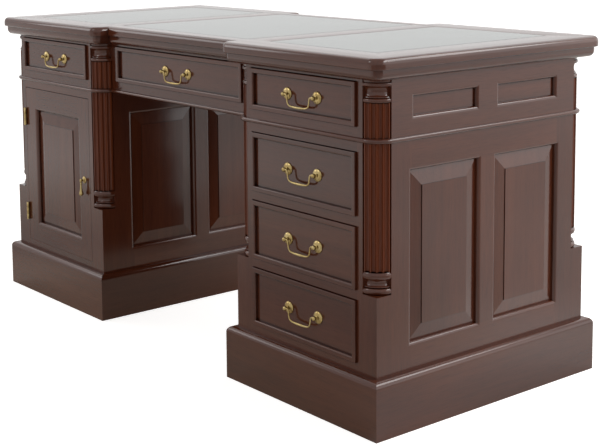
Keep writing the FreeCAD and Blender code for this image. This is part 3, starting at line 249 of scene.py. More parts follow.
def choose(mask, first, second):
    """The second vector where the mask is 1, and the first elsewhere."""
    node = mask.id_data.nodes.new("ShaderNodeMix")
    node.data_type = "VECTOR"
    for slot, value in (("Factor", mask), (4, first), (5, second)):
        feed(node.inputs[slot], value)
    return node.outputs[1]


def bump(shader, height, distance, strength):
    """Raises and sinks the shader's surface by height times distance in metres."""
    node = add("ShaderNodeBump", Strength=strength, Distance=distance, Height=height)
    fill(shader, Normal=node.outputs["Normal"])


BLACK, WHITE = (0.0, 0.0, 0.0), (1.0, 1.0, 1.0)

# %% [markdown]
# ## The grain's own axes
#
# A board's streaks run along it, so a pattern needs axes of its own. Object coordinates stay with
# the solid in its own place. Turned so that their X lies along the grain, and then multiplied
# by more across it than along it, they draw any noise out into streaks.

# %% Turned and stretched coordinates
TURNS = {"x": (0, 0, 0), "y": (0, 0, math.radians(-90)), "z": (0, math.radians(90), 0)}


def vector_of(tree, kind="Object"):
    """A coordinate of each point, as a vector's socket."""
    return tree.nodes.new("ShaderNodeTexCoord").outputs[kind]


def parts_of(tree, kind="Object"):
    """The X, Y and Z of a coordinate, as three sockets."""
    return add("ShaderNodeSeparateXYZ", Vector=vector_of(tree, kind)).outputs


def along(tree, way, place):
    """Object coordinates turned so that the new X runs along the grain, and shifted by a place."""
    return add("ShaderNodeMapping", Vector=vector_of(tree), Location=place,
               Rotation=TURNS[way]).outputs["Vector"]


def stretched(vector, scale):
    """A vector with its three parts multiplied by a scale, so that a pattern on it is drawn out."""
    return add("ShaderNodeMapping", Vector=vector, Scale=scale).outputs["Vector"]


# %% [markdown]
# ## Mahogany
#
# Mahogany is a red-brown timber with long straight streaks, a soft ribbon that comes and goes
# with the light, and fine open pores that show as short dark dashes. On this desk it is stained
# dark and polished, and shade is painted into the corners of its mouldings. A solid pattern in
# Object coordinates suits it, since the grain then runs through a board and shows on its edges.
# Boards lie in three directions, so a timber's grain may run along any axis.

# %% Polished mahogany
WOOD = ((0.30, (0.058, 0.0138, 0.0058)), (0.52, (0.089, 0.0218, 0.0089)),
        (0.74, (0.125, 0.0330, 0.0133)))
PORES = ((0.30, (0.72, 0.69, 0.67)), (0.46, WHITE))
# The ramp below paints shade into corners: dark where a point is closed in, white in the open.
CORNER_SHADE = ((0.36, (0.10, 0.08, 0.08)), (0.84, WHITE))
SHADE_REACH = 0.009  # how near a surface closes in to darken a corner
RIBBON, STREAKS = (1.4, 6.5, 6.5), (2.2, 70.0, 70.0)  # waves in a metre, along and across
PORE_DASHES = (26.0, 1100.0, 1100.0)


def painted_corner_shade(colour, reach):
    """Paints shade into a colour: darkens it in narrow corners, where the surface near by closes in
    within a reach.
    """
    corners = add("ShaderNodeAmbientOcclusion", colour.id_data, Distance=reach)
    corners.samples, corners.only_local = 6, True
    return blend(1.0, colour, ramp(corners.outputs["AO"], *CORNER_SHADE), "MULTIPLY")


def mahogany(name, way="z", rails=None, place=(0.0, 0.0, 0.0), streak=1.0, tone=1.0,
             index=1.47, reach=SHADE_REACH):
    """Polished mahogany whose grain runs along x, y or z, or along Y and X where the rails' masks
    are 1. Its figure is 0.28 of the streaks plus 0.72 of a soft ribbon, which a ramp turns into
    brown, and pores and painted shade in the corners multiply that darker."""
    material, tree, shader = new_material(name)
    grain = along(tree, way, place)
    for mask, turned_way in zip(rails(tree) if rails else (), ("y", "x")):
        if mask is not None:
            grain = choose(mask, grain, along(tree, turned_way, place))
    ribbon = noise(stretched(grain, RIBBON), 1.0, 3.0, 0.5, 0.5)
    streaks = noise(stretched(grain, STREAKS), 1.0, 4.0, 0.6, 0.3)
    pores = noise(stretched(grain, PORE_DASHES), 1.0, 1.0, 0.5)
    figure = total(times(streaks, 0.28 * streak), times(ribbon, 0.72))
    wood = blend(1.0, ramp(figure, *WOOD), ramp(pores, *PORES), "MULTIPLY")
    if tone != 1.0:
        wood = blend(1.0, wood, (tone, 0.98 * tone, 0.90 * tone), "MULTIPLY")
    polish = calculate("MULTIPLY_ADD", ribbon, 0.08, 0.10)
    # The wood's colour gets painted shade in its narrow corners.
    fill(shader, Base_Color=painted_corner_shade(wood, reach), Roughness=polish, IOR=index)
    bump(shader, pores, 0.00008, 0.25)
    return material


# %% [markdown]
# ## Which way the grain runs
#
# A joiner cuts stiles and posts with upright grain and rails with level grain, and the joint
# between them shows as a change of direction. The solids already hold whole frames, so the
# pattern itself has to know where a rail begins. Plain tests on the Object coordinates do that.

# %% Tests on a place
def over(value, limit):
    """1 where a value is greater than a limit, else 0."""
    return calculate("GREATER_THAN", value, limit)


def under(value, limit):
    """1 where a value is less than a limit, else 0."""
    return calculate("LESS_THAN", value, limit)


def size_of(value):
    """A value without its sign."""
    return calculate("ABSOLUTE", value)


def less(value, other):
    """A value minus another."""
    return calculate("SUBTRACT", value, other)


def whereabouts(tree):
    """Sockets for |x|, |y|, z and for how far a point lies from a pedestal's middle in X."""
    x, y, z = parts_of(tree)
    x, y = size_of(x), size_of(y)
    return x, y, z, size_of(less(x, PEDESTAL))


def outside(z, window):
    """1 below and above a window of two heights."""
    return largest(under(z, window[0]), over(z, window[1]))


# %% Where the rails are
SIDE_WINDOW, DOOR_WINDOW = (0.180, 0.540), (0.1995, 0.5205)  # heights of the panels' openings
SIDE_POST, FRONT_FRAME = 0.229, 0.265  # |y| where a side's posts and a front's frame begin
OPENING, DOOR_OPENING = 0.1712, 0.112  # half widths, from a pedestal's middle
FRIEZE_END, MIDDLE_OPENING = 0.7264, 0.2672  # |x| of the frieze's end and of its middle posts


def pedestal_rails(tree):
    """Masks of the pedestal frame: along Y between a side's posts, above and below its panels,
    and along X between a front's posts."""
    _, y, z, off = whereabouts(tree)
    side = times(under(y, SIDE_POST), outside(z, SIDE_WINDOW))
    return side, times(over(y, FRONT_FRAME), under(off, OPENING))


def frieze_rails(tree):
    """Masks of the frieze: its ends along Y, and the rails between posts along X."""
    x, y, _, off = whereabouts(tree)
    end = times(over(x, FRIEZE_END), under(y, RECESS + HAIR))
    return end, largest(under(off, OPENING), under(x, MIDDLE_OPENING))


def door_rails(tree):
    """Masks of a door: none along Y, and the top and bottom rails along X."""
    _, _, z, off = whereabouts(tree)
    return None, times(outside(z, DOOR_WINDOW), under(off, DOOR_OPENING))


def mitred_runs(tree):
    """Masks of a plinth or moulding: along Y where the surface's own X is larger than its Y, so
    that it looks along X, and along X elsewhere."""
    x, y, _ = parts_of(tree, "Normal")
    side = over(size_of(x), size_of(y))
    return side, less(1.0, side)


# %% The polished timbers
wood_pedestal = mahogany("mahogany_pedestal", rails=pedestal_rails)
wood_frieze = mahogany("mahogany_frieze", rails=frieze_rails, place=(0.2, 0.5, 0.7))
wood_door = mahogany("mahogany_door", rails=door_rails, place=(0.6, 0.1, 0.3))
wood_run = mahogany("mahogany_mitred", rails=mitred_runs, place=(0.4, 0.8, 0.2))
wood_upright = mahogany("mahogany_upright", place=(0.9, 0.2, 0.4))
# The flutes' mahogany is painted 1.55 times lighter and a little more orange: painted light for the
# warm light that bounces in their hollows. It also mirrors less, and its painted corner shade
# reaches a third as far.
wood_flutes_painted_light = mahogany("mahogany_flutes_painted_light", place=(0.9, 0.2, 0.4), tone=1.55, index=1.27,
                       reach=SHADE_REACH / 3.0)
wood_panel = mahogany("mahogany_panel", place=(0.1, 0.9, 0.6), streak=1.15)
print("mahogany:", [each.name for each in bpy.data.materials if each.name.startswith("mahogany")])

# %% [markdown]
# ## Drawer timber
#
# Only a drawer's front is polished. The sides, back and bottom are plain planed boards in a
# lighter, dry timber, and so are the runners and the inside of the pedestals. A front is 18 mm
# thick, so a test on Y tells polished front from plain box.

# %% Plain and half-polished timber
LINING = ((0.30, (0.16, 0.075, 0.036)), (0.55, (0.27, 0.140, 0.070)), (0.80, (0.36, 0.205, 0.110)))
LINING_STREAKS, FRONT_THICK = (3.0, 60.0, 60.0), 0.018


def dry_streaks(tree):
    """Streaks of planed boards that run along Y: a noise twenty times finer across than along."""
    grain = along(tree, "y", (0.5, 0.3, 0.2))
    return noise(stretched(grain, LINING_STREAKS), 1.0, 5.0, 0.6, 0.3)


def lining(name):
    """Dry planed timber: its streaks as a paler brown, with no polish on it."""
    material, tree, shader = new_material(name)
    streaks = dry_streaks(tree)
    fill(shader, Base_Color=ramp(streaks, *LINING), Roughness=0.72)
    bump(shader, streaks, 0.0003, 0.4)
    return material


def drawer_timber(name, face):
    """Polished mahogany within a front's thickness of its face, and behind it plain timber, whose
    roughness is 0.45 more."""
    material = mahogany(name, way="x", place=(0.7, 0.4, 0.9), streak=1.1)
    tree = material.node_tree
    shader = node_of(tree, "BSDF_PRINCIPLED")
    colour, sheen = (shader.inputs[name].links[0].from_socket
                     for name in ("Base Color", "Roughness"))
    box = under(whereabouts(tree)[1], face - FRONT_THICK + HAIR)
    fill(shader, Base_Color=blend(box, colour, ramp(dry_streaks(tree), *LINING)),
         Roughness=total(sheen, times(box, 0.45)))
    return material


wood_lining = lining("drawer_lining_timber")
wood_drawer = drawer_timber("mahogany_drawer", HALF_DEPTH)
wood_centre = drawer_timber("mahogany_centre_drawer", RECESS)
print("drawers:", wood_drawer.name, "and", wood_centre.name, "with", wood_lining.name)

# %% [markdown]
# ## Dressing the solids
#
# The carcase, the panels, the plinths, the drawers and the doors have their right shapes as
# solids, so they stay and only get a finish. The first word below that a solid's name holds
# picks its timber. Pieces that are replaced further down are hidden then.

# %% Dress the solids of the frame
TIMBERS = (
    ("runners", wood_lining), ("interior", wood_lining), ("panels", wood_panel),
    ("pedestal_frame", wood_pedestal), ("frieze_carcase", wood_frieze), ("columns", wood_upright),
    ("centre_frieze_drawer", wood_centre), ("drawer", wood_drawer), ("door", wood_door),
    ("", wood_run),
)
for name, node in frame["nodes"].items():
    node.data.materials.clear()
    node.data.materials.append(next(timber for word, timber in TIMBERS if word in name))
print(len(frame["nodes"]), "solids dressed")

# %% [markdown]
# ## Closed skins
#
# Columns, knobs, roses, bails and pendants are all stacks of closed rings: a circle or a fluted
# outline that changes as it rises. One helper lays quads between neighbouring rings and closes
# both ends with a fan, so every piece is a sealed body with its faces outwards.

# %% Skins over rings
def skin(rings):
    """A closed skin over rings of shape (rows, columns, 3) that run anticlockwise seen from the
    last ring. Quads join neighbouring rings, and a fan to the ring's middle closes each end."""
    rows, columns = rings.shape[:2]
    points = np.concatenate((rings.reshape(-1, 3), rings[:1].mean(1), rings[-1:].mean(1)))
    here = np.arange(columns)
    after = (here + 1) % columns
    top, middle = (rows - 1) * columns, np.full(columns, rows * columns)
    foot = np.stack((after, here, middle), 1)
    head = np.stack((here + top, after + top, middle + 1), 1)
    return points, [*ring_faces(rows, columns).tolist(), *foot.tolist(), *head.tolist()]


def together(skins):
    """Several skins as one set of points and faces: each skin's corner numbers go up by the
    number of points before it."""
    points, faces, count = [], [], 0
    for some_points, some_faces in skins:
        points.append(some_points)
        faces += [[corner + count for corner in face] for face in some_faces]
        count += len(some_points)
    return np.concatenate(points), faces


def moved(skin_of, turn=0.0, to=(0.0, 0.0, 0.0)):
    """A skin turned about Z by an angle in degrees, (x cos - y sin, x sin + y cos), then moved."""
    points, faces = skin_of
    c, s = math.cos(math.radians(turn)), math.sin(math.radians(turn))
    return points @ np.array(((c, s, 0.0), (-s, c, 0.0), (0.0, 0.0, 1.0))) + np.array(to), faces


def stand_in(name, skin_of, node, material, smooth):
    """A piece that stands for a node of the frame and rides on that node's body. Its faces are
    turned outwards, and it gets its material and slot."""
    made = piece(name, *skin_of, frame["nodes"][node]["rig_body"], smooth)
    shell = bmesh.new()
    shell.from_mesh(made.data)
    bmesh.ops.recalc_face_normals(shell, faces=shell.faces)
    shell.to_mesh(made.data)
    shell.free()
    made.data.materials.append(material)
    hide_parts(node)
    print(made.name, len(made.data.polygons), "faces")
    return made


# %% Turned bodies and smooth lines
def spun(profile, sides=32):
    """A turned body: profile rows (radius, height) carried round the Z axis, so that a point is
    (radius cos, radius sin, height)."""
    profile = np.asarray(profile, float)
    turn = full_turn(sides)
    radius, height = profile[:, :1], profile[:, 1:]
    return skin(np.stack((radius * np.cos(turn), radius * np.sin(turn), height + 0.0 * turn), -1))


def smooth_line(points, steps):
    """A smooth line through points: a Catmull-Rom spline with this many steps for each span."""
    points = np.asarray(points, float)
    ends = 2 * points[:1] - points[1:2], 2 * points[-1:] - points[-2:-1]
    padded = np.concatenate((ends[0], points, ends[1]))
    t = np.linspace(0.0, 1.0, steps, endpoint=False)[:, None]
    a, b, c, d = (padded[k:len(padded) - 3 + k, None] for k in range(4))
    curve = 0.5 * (2 * b + (c - a) * t + (2 * a - 5 * b + 4 * c - d) * t ** 2
                   + (3 * b - a - 3 * c + d) * t ** 3)
    return np.concatenate((curve.reshape(-1, points.shape[1]), points[-1:]))


# %% [markdown]
# ## Fluted corner columns
#
# Each pedestal corner holds a quarter of a turned column. Its shaft has hollow flutes with narrow
# flat fillets between them, cut with a round-nosed tool, so a flute's section is part of a circle
# whose centre lies just outside the shaft. Foot and head are turned: a torus, a fillet, a hollow
# scotia and a second torus below, and a torus, a long hollow with a small fillet and a band above.
# Booleans could cut the flutes, but a formula for the radius leaves cleaner faces.

# %% The fluted section
SHAFT, RING = 0.0395, 0.0410  # radius of the shaft, and of its widest rings
FLUTE, FLUTE_AT = 0.0054, 0.0400  # a flute's radius, and its centre's from the axis
FIRST_FLUTE, FLUTE_STEP, FLUTES = -3.5, 19.4, 6
flute_angles = FIRST_FLUTE + FLUTE_STEP * np.arange(FLUTES)
half_flute = math.degrees(math.asin(FLUTE / FLUTE_AT))
spread = half_flute * np.sin(sweep(-89.0, 89.0, 15))
angles = np.concatenate(((flute_angles[:, None] + spread).ravel(), [0.0, 90.0]))
angles = np.unique(np.round(np.clip(angles, 0.0, 90.0), 4))


def fluted(angle):
    """Radius of the shaft at an angle in degrees: the shaft's own, or a flute's near side, where
    a ray at d from the flute's middle meets its circle at c cos d - sqrt(f^2 - (c sin d)^2)."""
    off = np.radians(angle[:, None] - flute_angles[None, :])
    depth = FLUTE ** 2 - (FLUTE_AT * np.sin(off)) ** 2
    near = FLUTE_AT * np.cos(off) - np.sqrt(np.maximum(depth, 0.0))
    return np.minimum(np.where(depth > 0, near, SHAFT).min(1), SHAFT)


def quarter(rows):
    """A quarter column from rows (height, radius); a radius of None stands for the fluted section.
    Each ring goes round the quarter and back to the axis."""
    flutes = fluted(angles)
    radius = np.array([flutes if r is None else np.full(len(angles), r) for _, r in rows])
    height = np.array([z for z, _ in rows])[:, None]
    turn = np.radians(angles)
    arcs = np.stack((radius * np.cos(turn), radius * np.sin(turn), height + 0.0 * turn), -1)
    axis = np.concatenate((np.zeros((len(rows), 1, 2)), height[:, :, None]), -1)
    return skin(np.concatenate((arcs, axis), 1))


print("a quarter section has", len(angles), "points")


# %% Turned mouldings of the columns
def torus_rows(low, high, radius, bulge, steps=9):
    """Rows of a half-round moulding between two heights: half an ellipse that stands out by its
    bulge to a radius."""
    turn = sweep(-90.0, 90.0, steps)
    height = low + (high - low) * (0.5 + 0.5 * np.sin(turn))
    return list(zip(height, radius - bulge + bulge * np.cos(turn)))


def band_rows(low, high, radius, ease, steps=4):
    """Rows of a square band whose arrises are eased to a quarter circle."""
    turn = sweep(0.0, 90.0, steps)
    rows = list(zip(low + ease - ease * np.cos(turn), radius - ease + ease * np.sin(turn)))
    return rows + [(high + low - z, r) for z, r in reversed(rows)]


def hollow_rows(low, high, from_radius, to_radius, neck, steps=8):
    """Rows of a scotia: a straight line between two radii, pulled in to the neck by sin^0.6."""
    t = np.linspace(0.0, 1.0, steps)[1:-1]
    dip = np.sin(np.pi * t) ** 0.6
    straight = (1.0 - t) * from_radius + t * to_radius
    return list(zip(low + (high - low) * t, (1.0 - dip) * straight + dip * neck))


SHAFT_LOW, SHAFT_HIGH = 0.340, 0.6855
tall = (torus_rows(0.292, 0.306, RING, 0.0060)
        + torus_rows(0.3070, 0.3095, 0.0378, 0.0014, 5)
        + hollow_rows(0.3095, 0.323, 0.0362, 0.0355, 0.0325)
        + torus_rows(0.323, SHAFT_LOW, RING, 0.0058, 11)
        + [(SHAFT_LOW, SHAFT), (SHAFT_LOW, None), (BEAD_LOW, None)])
short = ([(BEAD_LOW, RING), (BEAD_HIGH, RING), (BEAD_HIGH, None), (SHAFT_HIGH, None),
          (SHAFT_HIGH, SHAFT)]
         + torus_rows(SHAFT_HIGH, 0.6945, 0.0402, 0.0032)
         + torus_rows(0.6955, 0.6980, 0.0376, 0.0014, 5)
         + hollow_rows(0.6980, 0.7185, 0.0360, 0.0378, 0.0325, 10)
         + band_rows(0.7185, 0.7275, RING, 0.0036, 6)
         + [(0.7275, 0.0385), (APRON_LOW, 0.0390)])
print("a long column has", len(tall), "rings and a short one", len(short))

# %% Stand the columns in their corners
POST_IN, POST_OUT = KNEE + RING, HALF_LENGTH - RING  # |x| of the columns' axes
QUARTERS = {(1, 1): 0.0, (-1, 1): 90.0, (-1, -1): 180.0, (1, -1): -90.0}
COLUMNS = (
    ("right_columns", tall, (1,), "right_pedestal_columns"),
    ("left_columns", tall, (-1,), "left_pedestal_columns"),
    ("frieze_column_heads", short, (1, -1), "frieze_columns"),
)
FLUTED_FROM = 0.05  # a face that reaches this far in Z is part of a shaft


def stood(rows, sides):
    """Copies of a quarter column in every corner of the pedestals on the given sides."""
    one = quarter(rows)
    return together([
        moved(one, QUARTERS[(side * outer, face)], (side * x, face * RECESS, 0.0))
        for side in sides for face in (-1, 1) for x, outer in ((POST_OUT, 1), (POST_IN, -1))])


def height_span(mesh):
    """How far each face reaches in Z: its highest corner minus its lowest."""
    corners, starts = np.empty(len(mesh.loops), np.int32), np.empty(len(mesh.polygons), np.int32)
    places = np.empty(3 * len(mesh.vertices), np.float32)
    mesh.loops.foreach_get("vertex_index", corners)
    mesh.polygons.foreach_get("loop_start", starts)
    mesh.vertices.foreach_get("co", places)
    z = places[2::3][corners]
    return np.maximum.reduceat(z, starts) - np.minimum.reduceat(z, starts)


for name, rows, sides, node in COLUMNS:
    made = stand_in(name, stood(rows, sides), node, wood_upright, 38.0)
    # The shafts' faces take the flutes' lighter, painted-light mahogany.
    made.data.materials.append(wood_flutes_painted_light)
    shaft = height_span(made.data) > FLUTED_FROM
    made.data.polygons.foreach_set("material_index", shaft.astype(np.int32))
    print(name, "has", int(shaft.sum()), "faces on its shafts")

# %% [markdown]
# ## The breakfront plan
#
# Seen from above the desk steps back between its pedestals. The top and the moulding below it
# follow that plan with rounded outer corners and sharp inner ones. A moulding is a section
# carried along this path, so the path is a function of how far it is set in from the edge.

# %% Paths set in from the edge
def left_of(direction):
    """A direction turned a quarter to the left: (x, y) becomes (-y, x)."""
    return np.stack((-direction[:, 1], direction[:, 0]), 1)


def breakfront(overhang, radius, inset, steps=9):
    """The desk's plan at an overhang, with its outer corners rounded, set in by a distance. A
    rounded corner keeps its centre and loses the inset from its radius; a sharp one moves along
    its mitre."""
    end, deep = HALF_LENGTH + overhang, HALF_DEPTH + overhang
    inner, shallow = KNEE - overhang, RECESS + overhang
    front = np.array(((-end, -deep), (-inner, -deep), (-inner, -shallow),
                      (inner, -shallow), (inner, -deep), (end, -deep)))
    corners = np.concatenate((front, -front))
    coming = corners - np.roll(corners, 1, 0)
    coming /= np.linalg.norm(coming, axis=1)[:, None]
    going = np.roll(coming, -1, 0)
    inward, onward = left_of(coming), left_of(going)
    sharp = corners + inset * (inward + onward)
    middle = corners + radius * (inward + onward)
    turn = sweep(0.0, 90.0, steps)[:, None, None]
    rounded = middle - (radius - inset) * (np.cos(turn) * inward + np.sin(turn) * onward)
    outward = (inward * going).sum(1) > 0
    return np.concatenate([rounded[:, k] if outward[k] else sharp[k:k + 1]
                           for k in range(len(corners))])


def carried(section, path):
    """Rings of a section along a path: each (inset, height) row gives the whole plan at that
    inset, lifted to that height."""
    return np.stack([np.insert(path(inset), 2, height, axis=1) for inset, height in section])


def moulding(section, path):
    """A closed moulding: a closed section carried along a closed path, so quads join both ways."""
    rings = carried(section, path)
    rows, columns = rings.shape[:2]
    return rings.reshape(-1, 3), (ring_faces(rows + 1, columns) % (rows * columns)).tolist()


def arris(radius, height, start, stop, steps=8, tall=1.0):
    """Section points of a rounded arris about (radius, height), between two angles in degrees: a
    circle, or an ellipse that is tall times as high as it is wide."""
    turn = sweep(start, stop, steps)
    return list(zip(radius - radius * np.cos(turn), height + tall * radius * np.sin(turn)))


print("the plan has", len(breakfront(0.0, 0.01, 0.0)), "points")

# %% [markdown]
# ## Top board
#
# The board has a round over its upper arris, a little taller than it is wide, and a smaller one
# below. Three shallow beds are sunk into it for the leathers, so its upper face is a plan with
# three holes. A boolean could cut them, but here the rims are joined to the outline by triangles,
# which leaves a clean mesh.

# %% The board and its three beds
OVERHANG = 0.0275  # the board beyond the body
LOWER_ROUND, UPPER_ROUND, TALLER = 0.0030, 0.0105, 1.2
LEATHERS = ((-0.512, 0.172), (0.0, 0.262), (0.512, 0.172))  # middle and half width along X
LEATHER_DEEP = 0.268  # half depth along Y
BED_CORNER, BED_DEEP = 0.009, 0.002
BED_RIM = mm((2.2, 0.0), (1.4, 0.12), (0.6, 0.42), (0.0, 0.9))  # width beyond the bed, and drop


def rounded_rectangle(middle, wide, deep, radius, height, steps=6):
    """A rectangle of half sizes wide and deep, anticlockwise at a height, whose corners are
    quarter circles of a radius."""
    turn = sweep(0.0, 90.0, steps)
    corner = np.stack((wide - radius + radius * np.cos(turn),
                       deep - radius + radius * np.sin(turn)), 1)
    flip = np.array(((1, 1), (-1, 1), (-1, -1), (1, -1)))
    ring = np.concatenate([corner[::(-1) ** k] * flip[k] for k in range(4)])
    return np.insert(ring + (middle, 0.0), 2, height, axis=1)


# %% Build the board
edge = (arris(LOWER_ROUND, BOARD_LOW + LOWER_ROUND, -90.0, 0.0)
        + arris(UPPER_ROUND, TOP - TALLER * UPPER_ROUND, 0.0, 90.0, 14, TALLER))
rings = carried(edge, lambda inset: breakfront(OVERHANG, OVERHANG, inset))
rows, columns = rings.shape[:2]
points, faces = [rings.reshape(-1, 3)], ring_faces(rows, columns).tolist()
faces.append(list(range(columns))[::-1])
count = rows * columns
loops = [np.arange(count - columns, count)]
for middle, wide in LEATHERS:
    bed = np.stack([rounded_rectangle(middle, wide + more, LEATHER_DEEP + more, BED_CORNER + more,
                                      TOP - drop) for more, drop in (*BED_RIM, (0.0, BED_DEEP))])
    rows, columns = bed.shape[:2]
    points.append(bed.reshape(-1, 3))
    faces += (ring_faces(rows, columns) + count).tolist()
    loops.append(np.arange(columns) + count)
    count += rows * columns
    faces.append(list(range(count - columns, count)))
points, numbers = np.concatenate(points), np.concatenate(loops)
outlines = [list(map(Vector, points[loop])) for loop in loops]
faces += numbers[np.array(tessellate_polygon(outlines))].tolist()
stand_in("top", (points, faces), "top_board", wood_run, 30.0)

# %% [markdown]
# ## Leathers
#
# Skiver leather is pared thin, laid in paste and rubbed down, so its edge is a little rounded
# against the wood. Round each skin runs a blind line pressed with a hot wheel. The line depends
# on the distance to the skin's edge, which a few nodes work out from the Object coordinates. A
# thin coat over the dark green gives the sheen of waxed leather.

# %% Leather finish
GREENS = ((0.30, (0.018, 0.034, 0.024)), (0.52, (0.028, 0.048, 0.034)),
          (0.75, (0.042, 0.064, 0.045)))
LINE_COLOUR, LINE_AT, LINE_HALF = (0.006, 0.009, 0.007), 0.016, 0.0008
SIDE_LEATHER = 0.300  # |x| beyond the middle leather


def gap_to_edge(tree):
    """How far a point lies inside its leather's edge: the smaller of its gaps along X and Y,
    where a gap is the leather's half size minus the distance from its middle."""
    x, y, _, _ = whereabouts(tree)
    side = over(x, SIDE_LEATHER)
    middle_gap = less(LEATHERS[1][1], x)
    side_gap = less(LEATHERS[2][1], size_of(less(x, LEATHERS[2][0])))
    gap = total(times(side, side_gap), times(less(1.0, side), middle_gap))
    return calculate("MINIMUM", gap, less(LEATHER_DEEP, y))


def hide(name):
    """Dark green leather: greens mixed by a cloud, darker in the gaps between fine cells, with a
    line where the gap to the edge is 16 mm. Its height is 0.35 of the cells minus the line."""
    material, tree, shader = new_material(name)
    line_off = size_of(less(gap_to_edge(tree), LINE_AT))
    line = under(line_off, LINE_HALF)
    cells = add("ShaderNodeTexVoronoi", Vector=vector_of(tree), Scale=520.0)
    cells.feature = "DISTANCE_TO_EDGE"
    grain = ramp(cells.outputs["Distance"], (0.0, BLACK), (0.22, WHITE))
    colour = ramp(noise(vector_of(tree), 5.0, 4.0, 0.6), *GREENS)
    colour = blend(line, colour, LINE_COLOUR)
    grained = blend(1.0, colour, grain, "MULTIPLY")
    fill(shader, Base_Color=blend(0.35, colour, grained), Roughness=0.20, Coat_Weight=0.40,
         Coat_Roughness=0.20)
    bump(shader, less(times(grain, 0.35), line), 0.0002, 0.22)
    return material


green_leather = hide("green_leather")
print("leather:", green_leather.name)

# %% Three skins
CLEARANCE = 0.0003  # between a leather and its bed
LEATHER_EASE, LEATHER_FALL = 0.0055, 0.0009


def slab(middle, wide, deep, radius):
    """A skin as thick as its bed is deep, whose edge falls away: over the last 5.5 mm its height
    drops by 0.9 mm along a quarter ellipse."""
    turn = sweep(0.0, 90.0, 8)
    rise = [(0.0, TOP - BED_DEEP), *zip(LEATHER_EASE * (1.0 - np.cos(turn)),
                                        TOP - LEATHER_FALL * (1.0 - np.sin(turn)))]
    return skin(np.stack([rounded_rectangle(middle, wide - draw, deep - draw,
                                            max(radius - draw, 0.002), z) for draw, z in rise]))


skins = [slab(middle, wide - CLEARANCE, LEATHER_DEEP - CLEARANCE, BED_CORNER - CLEARANCE)
         for middle, wide in LEATHERS]
stand_in("leathers", together(skins), "writing_leathers", green_leather, 60.0)

# %% [markdown]
# ## Apron and bead
#
# Under the board runs an ovolo, a quarter round that carries the eye from the board to the
# frieze. A small half-round bead marks the foot of the frieze and bows out round each column.
# Curves with a bevel could follow the plan too, but carried sections keep each mitre sharp.

# %% Apron moulding
APRON_PROUD, APRON_BACK, OVOLO = 0.019, 0.0188, 0.014
INTO_BOARD = 0.0005  # so that no gap shows above it
section = [(APRON_BACK, APRON_LOW), *arris(OVOLO, APRON_LOW + OVOLO, -90.0, 0.0, 9),
           (0.0, BOARD_LOW + INTO_BOARD), (APRON_BACK, BOARD_LOW + INTO_BOARD)]
apron = moulding(section, lambda inset: breakfront(APRON_PROUD, APRON_PROUD, inset))
stand_in("apron", apron, "apron_moulding", wood_run, 30.0)

# %% Bead
BEAD_PROUD, BEAD_ROUND = 0.0060, 0.0049


def bowed(inset, steps=17):
    """The frieze's plan with a bow round every column, set in from the bead's face. A bow is a
    circle about the column's axis; beside the middle bay it ends where it meets the bead there,
    at the angle whose sine is how proud the bead is over the circle's radius."""
    proud = BEAD_PROUD - inset
    radius = RING + proud
    outer = np.linspace(1.5 * np.pi, 2.0 * np.pi, steps)
    inner = np.linspace(np.pi + math.asin(proud / radius), 1.5 * np.pi, steps)
    right = np.concatenate([
        np.stack((x + radius * np.cos(turn), -RECESS + radius * np.sin(turn)), 1)
        for x, turn in ((POST_IN, inner), (POST_OUT, outer))])
    front = np.concatenate(((right * (-1, 1))[::-1], right))
    return np.concatenate((front, -front))


section = [(BEAD_PROUD, BEAD_LOW),
           *arris(BEAD_ROUND, (BEAD_LOW + BEAD_HIGH) / 2, -90.0, 90.0, 11),
           (BEAD_PROUD, BEAD_HIGH)]
stand_in("bead", moulding(section, bowed), "frieze_bead", wood_run, 40.0)

# %% [markdown]
# ## Brass
#
# The pulls are cast brass, lacquered after an old-gold colouring, which on real pulls is bright
# where hands rub it and brown in the hollows and towards the roses' rims. Here three golds are
# mixed by a soft cloud, and a low metal roughness with a faint mottle gives the soft highlights
# of cast and tumbled work.

# %% Brass finish
GOLDS = ((0.32, (0.28, 0.190, 0.070)), (0.50, (0.36, 0.265, 0.112)), (0.70, (0.43, 0.335, 0.162)))


def old_brass(name):
    """Coloured brass: three golds mixed by a cloud; its roughness is 0.22 plus 0.12 of a mottle."""
    material, tree, shader = new_material(name)
    cloud = noise(vector_of(tree), 40.0, 3.0, 0.5)
    mottle = noise(vector_of(tree), 700.0, 2.0, 0.5)
    fill(shader, Base_Color=ramp(cloud, *GOLDS), Metallic=1.0,
         Roughness=calculate("MULTIPLY_ADD", mottle, 0.12, 0.22))
    return material


brass = old_brass("old_brass")


def cast(name, skin_of, node, smooth):
    """A brass piece that stands for a node of the frame."""
    stand_in(name, skin_of, node, brass, smooth)


print("brass:", brass.name)

# %% [markdown]
# ## Pulls and bails
#
# A pull is two turned posts on round roses, and a bail that swings between them. The posts are
# spun from a profile. The bail is a bent wire, thicker in the middle and where it enters the
# knobs, so it is a rod along a smooth line with a radius that changes on the way. A curve with
# a bevel would do as well, but the rod's own rings make the swelling plain.

# %% Shapes of a pull
KNOB, PIVOT = 0.0052, 0.0120  # the knob's radius, and its centre's from the field
POST_APART = 0.048  # half the distance between a pull's two posts
WIRE, BELLY, COLLAR = 0.0018, 0.0011, 0.0007  # the bail's radius; its middle and ends add these
BELLY_WIDE, COLLAR_FROM, COLLAR_OVER = 0.019, 0.0375, 0.005  # where they do, along X
DOME = mm((13.6, 0.0), (14.0, 0.5), (13.9, 1.3), (13.1, 2.4), (11.2, 3.7), (8.6, 4.8), (6.0, 5.3),
          (4.4, 5.6), (3.4, 6.2), (3.1, 7.0), (3.1, 7.6))
HALF_BAIL = mm((0.0, -25.2), (10.0, -25.1), (19.0, -24.7), (26.5, -23.6), (31.8, -20.7),
               (34.5, -15.8), (35.6, -10.0), (36.4, -5.0), (37.8, -1.4), (40.8, 0.0), (45.0, 0.2),
               (50.0, 0.0))


